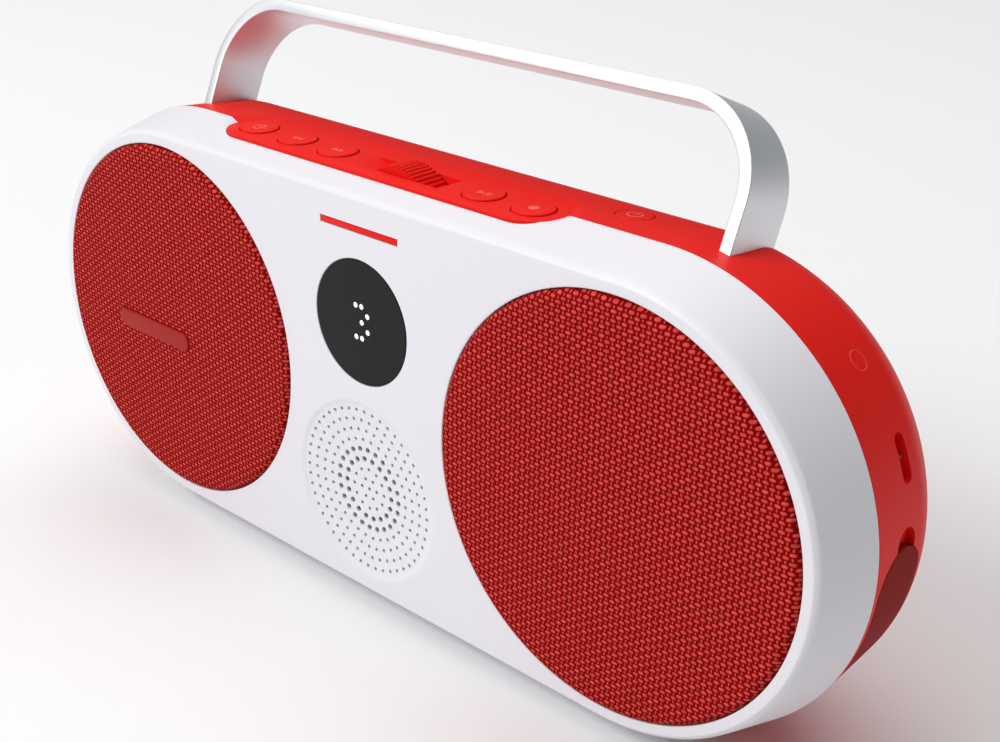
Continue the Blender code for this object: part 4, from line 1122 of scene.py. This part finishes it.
@dataclass
class Controls:
    """The pad, its buttons, the wheel and the power button."""

    body: Body
    radius: float = 6.8 * MM
    proud: float = 0.55 * MM
    clearance: float = 0.42 * MM
    flange: float = 1.0 * MM
    stem: float = 2.0 * MM
    dial_radius: float = 17.0 * MM
    dial_z: float = 60.35 * MM
    dial_width: float = 10.0 * MM
    ridges: int = 62
    groove: float = 0.75 * MM
    slot_reach: float = 13.24 * MM
    ramp: float = 5.8 * MM
    ramp_drop: float = 2.6 * MM
    places: dict[str, tuple[float, Symbol]] = field(default_factory=lambda: {
        "mode_button": (-74.8 * MM, Symbol.RING), "previous_button": (-54.2 * MM, Symbol.BACK),
        "next_button": (-33.6 * MM, Symbol.ON), "play_button": (33.6 * MM, Symbol.PLAY),
        "favourite_button": (54.2 * MM, Symbol.DOT),
    })

    def build(self, shop: Workshop) -> None:
        """Makes the pad with its holes, then everything that sits in it."""
        self.build_pad(shop)
        for name, (x, symbol) in self.places.items():
            top = self.body.pad_top + self.proud
            self.build_button(shop, name, (x, self.body.pad_y), self.radius, top, symbol, Matrix.Identity(4))
        place = self.body.power_place
        top = self.body.shell(place[1]) + 0.12 * MM
        pivot = Matrix.Translation((*place, top))
        tilt = pivot @ Matrix.Rotation(-math.atan(self.body.draft), 4, "X") @ pivot.inverted()
        self.build_button(shop, "power_button", place, self.body.power_cap, top, Symbol.POWER, tilt)
        self.build_dial(shop)

    def build_pad(self, shop: Workshop) -> None:
        """The slab that fills the notch in front and the dip behind."""
        body = self.body
        mould = Mould()
        mould.prism(body.pad(-0.01 * MM, 40), body.pad_bottom, body.pad_top, "Z")
        front = [e for e in mould.creases() if all(v.co.y < body.seam and v.co.z > body.pad_top - 0.1 * MM
                                                   for v in e.verts)]
        mould.bevel(front, 0.35 * MM, 3)
        made = shop.plain("control_pad", mould)
        cuts = []
        for x, _ in self.places.values():
            well = Mould()
            well.prism(arc((x, body.pad_y), self.radius + self.clearance, 0, 354, 59), 60 * MM, 90 * MM, "Z")
            cuts.append(well)
        slot = Mould()
        half = self.dial_width / 2 + 0.6 * MM
        floor = body.pad_top - self.ramp_drop
        outer = self.slot_reach + self.ramp
        right = [(outer, body.half + 9 * MM), (outer, body.pad_top), (self.slot_reach, floor),
                 (14.2 * MM, body.pad_bottom), (14.2 * MM, body.pad_bottom - 9 * MM)]
        outline = right + [(-x, z) for x, z in reversed(right)]
        slot.prism(outline, body.pad_y - half, body.pad_y + half, "Y")
        shop.carve(made, cuts + [slot])
        shop.finish(made, Slot.RED_PLASTIC)

    def build_button(self, shop: Workshop, name: str, place: Pair, radius: float, top: float,
                     symbol: Symbol, tilt: Matrix) -> None:
        """One cap with a rounded rim, a shallow dish and its symbol.

        Args:
            shop: where the piece is finished.
            name: the CAD node and body.
            place: (x, y) of its axis.
            radius: the cap's radius.
            top: height of its rim.
            symbol: what stands on it.
            tilt: how the cap leans.
        """
        shoulder = self.body.pad_bottom - 0.3 * MM
        round_over = arc((radius - 0.45 * MM, top - 0.45 * MM), 0.45 * MM, 90, 0, 5)
        profile = [(0.0, top - 0.1 * MM), (radius * 0.45, top - 0.07 * MM), (radius * 0.8, top - 0.02 * MM)]
        profile += round_over + [(radius, shoulder), (radius + self.flange, shoulder)]
        profile += [(radius + self.flange, shoulder - self.flange), (self.stem, shoulder - self.flange)]
        end = shoulder - self.flange - 0.6 * MM
        profile += [(self.stem, end), (0.0, end)]
        mould = Mould()
        mould.turn(profile, place, 64, upright=True)
        shop.piece(f"{name}_cap", mould.move(tilt), Slot.RED_PLASTIC, name, [name])
        mark = self.draw(symbol, place, top - 0.12 * MM)
        shop.piece(f"{name}_symbol", mark.move(tilt), Slot.RED_PLASTIC, name, finish=SYMBOL)

    def draw(self, symbol: Symbol, place: Pair, level: float) -> Mould:
        """A thin raised symbol lying flat at a level."""
        high = level + 0.14 * MM
        mould = Mould()

        def band(inner: float, outer: float, start: float, end: float) -> None:
            """Part of a ring."""
            edge = arc((0.0, 0.0), outer, start, end, 28) + arc((0.0, 0.0), inner, end, start, 28)
            mould.prism(edge, level, high, "Z")

        def triangle(middle: float, way: int) -> None:
            """A small triangle that points along x."""
            tip, base, half = middle + way * 0.85 * MM, middle - way * 0.65 * MM, 0.95 * MM
            mould.prism([(tip, 0.0), (base, half), (base, -half)], level, high, "Z")

        if symbol is Symbol.RING:
            band(1.25 * MM, 1.65 * MM, 40, 320)
            mould.prism(stadium(-0.1 * MM, 1.9 * MM, 0.22 * MM, 6), level, high, "Z")
        elif symbol is Symbol.POWER:
            band(1.35 * MM, 1.75 * MM, 125, 415)
            bar = [(b, a) for a, b in reversed(stadium(0.6 * MM, 2.0 * MM, 0.22 * MM, 6))]
            mould.prism(bar, level, high, "Z")
        elif symbol is Symbol.DOT:
            mould.prism(arc((0.0, 0.0), 1.15 * MM, 0, 345, 23), level, high, "Z")
        elif symbol is Symbol.PLAY:
            triangle(-0.8 * MM, 1)
            for shift in (0.75 * MM, 1.6 * MM):
                bar = [(b, a) for a, b in reversed(stadium(-0.75 * MM, 0.75 * MM, 0.2 * MM, 6, shift))]
                mould.prism(bar, level, high, "Z")
        else:
            way = 1 if symbol is Symbol.ON else -1
            triangle(-0.85 * MM * way, way)
            triangle(0.85 * MM * way, way)
        return mould.move(Matrix.Translation((*place, 0.0)) @ Matrix.Diagonal((1.5, 1.5, 1.0, 1.0)))

    def build_dial(self, shop: Workshop) -> None:
        """The wheel, with a ridge every few degrees and smooth side faces."""
        mould = Mould()
        steps = (0.0, 0.0, 0.0, 0.35, 1.0, 0.35)
        outline = []
        for i in range(self.ridges * len(steps)):
            turn = math.tau * i / (self.ridges * len(steps))
            radius = self.dial_radius - self.groove * steps[i % len(steps)]
            outline.append((radius * math.cos(turn), self.dial_z + radius * math.sin(turn)))
        half = self.dial_width / 2
        mould.prism(outline, self.body.pad_y - half, self.body.pad_y + half)
        shop.piece("ribbed_wheel", mould, Slot.RED_PLASTIC, "volume_dial", ["volume_dial"])


@dataclass
class Feet:
    """The two rubber feet under the shell."""

    body: Body
    place: float = 80.0 * MM
    width: float = 24.0 * MM
    start: float = 24.5 * MM
    length: float = 36.0 * MM
    drop: float = 2.35 * MM
    corner: float = 5.0 * MM

    def build(self, shop: Workshop) -> None:
        """Makes each foot as a rounded block whose top follows the shell."""
        ground = -self.body.half - self.drop
        for word, side in (("left", -1), ("right", 1)):
            low = (side * self.place - self.width / 2, self.start)
            high = (low[0] + self.width, self.start + self.length)
            mould = Mould()
            mould.prism(rounded(low, high, self.corner, 8), ground, ground + self.drop, "Z")
            mould.slice((0, 1, 0), [low[1] + 2 * MM * i for i in range(1, 18)])
            for vert in mould.bm.verts:
                if vert.co.z > ground + 0.1 * MM:
                    vert.co.z = -self.body.shell(vert.co.y) + 0.05 * MM
            bottom = [e for e in mould.creases(60.0) if all(v.co.z < ground + 0.1 * MM for v in e.verts)]
            mould.bevel(bottom, 0.6 * MM, 3)
            shop.piece(f"rubber_foot_{word}", mould, Slot.BLACK_RUBBER, replaces=[f"foot_{word}"])


@dataclass
class Studio:
    """Pale floor, soft lights and the camera."""

    eye: Colour = (0.36522, -0.36550, 0.30563)
    turn: Colour = (64.736, 0.643, 46.228)
    lens: float = 58.74
    shift: Pair = (0.0891, 0.0419)
    floor_tone: Colour = (0.88, 0.88, 0.885)

    def lamp(self, name: str, place: Colour, size: float, watts: float) -> None:
        """A square soft light that faces the object."""
        data = bpy.data.lights.new(name, "AREA")
        data.shape = "SQUARE"
        data.size = size
        data.energy = watts
        made = bpy.data.objects.new(name, data)
        made.location = place
        aim = Vector((0.0, 0.0, 0.09)) - Vector(place)
        made.rotation_euler = aim.to_track_quat("-Z", "Y").to_euler()
        bpy.context.scene.collection.objects.link(made)

    def build(self) -> None:
        """Sets everything round the object."""
        scene = bpy.context.scene
        scene.view_settings.view_transform = "Standard"
        mould = Mould()
        bmesh.ops.create_grid(mould.bm, x_segments=8, y_segments=8, size=6.0)
        floor = bpy.data.objects.new("studio_floor", mould.mesh("studio_floor"))
        scene.collection.objects.link(floor)
        tone = Moulded("studio_floor", self.floor_tone, 0.9, 4 * MM, 0.0 * MM, 0.004, 0.0).make()
        floor.data.materials.append(tone)
        world = bpy.data.worlds.new("studio")
        world.use_nodes = True
        world.node_tree.nodes["Background"].inputs["Color"].default_value = (0.97, 0.98, 1.0, 1.0)
        world.node_tree.nodes["Background"].inputs["Strength"].default_value = 0.21
        scene.world = world
        self.lamp("key", (-1.2, -2.6, 2.4), 1.8, 92.0)
        self.lamp("top", (-0.5, 0.6, 3.6), 4.2, 92.0)
        data = bpy.data.cameras.new("camera")
        data.lens = self.lens
        data.sensor_width = 36.0
        data.shift_x, data.shift_y = self.shift
        data.clip_start, data.clip_end = 0.01, 50.0
        camera = bpy.data.objects.new("camera", data)
        camera.location = self.eye
        camera.rotation_euler = Euler([math.radians(angle) for angle in self.turn])
        scene.collection.objects.link(camera)
        scene.camera = camera


def dress_kept_nodes() -> None:
    """Gives every CAD node that stays its slot's material."""
    slots = {slot.slot: slot for slot in Slot}
    for row in frame["record"]["subparts"]:
        node = frame["nodes"][row["node"]]
        if node.hide_render:
            continue
        node.data.materials.clear()
        node.data.materials.append(slots[row["material_slot"]].material())
        LOG.info("%s keeps its mesh", node.name)


def main() -> None:
    """Builds the boombox, sub-assembly by sub-assembly, and its studio."""
    logging.basicConfig(level=logging.INFO, format="%(name)s: %(message)s")
    shop = Workshop()
    body = Body()
    handle = Handle(body)
    Studio().build()
    FrontHousing(body).build(shop)
    RearHousing(body).build(shop, handle)
    handle.build(shop)
    SpeakerCovers(body).build(shop)
    Display().build(shop)
    Controls(body).build(shop)
    Feet(body).build(shop)
    dress_kept_nodes()


if __name__ == "__main__":
    main()
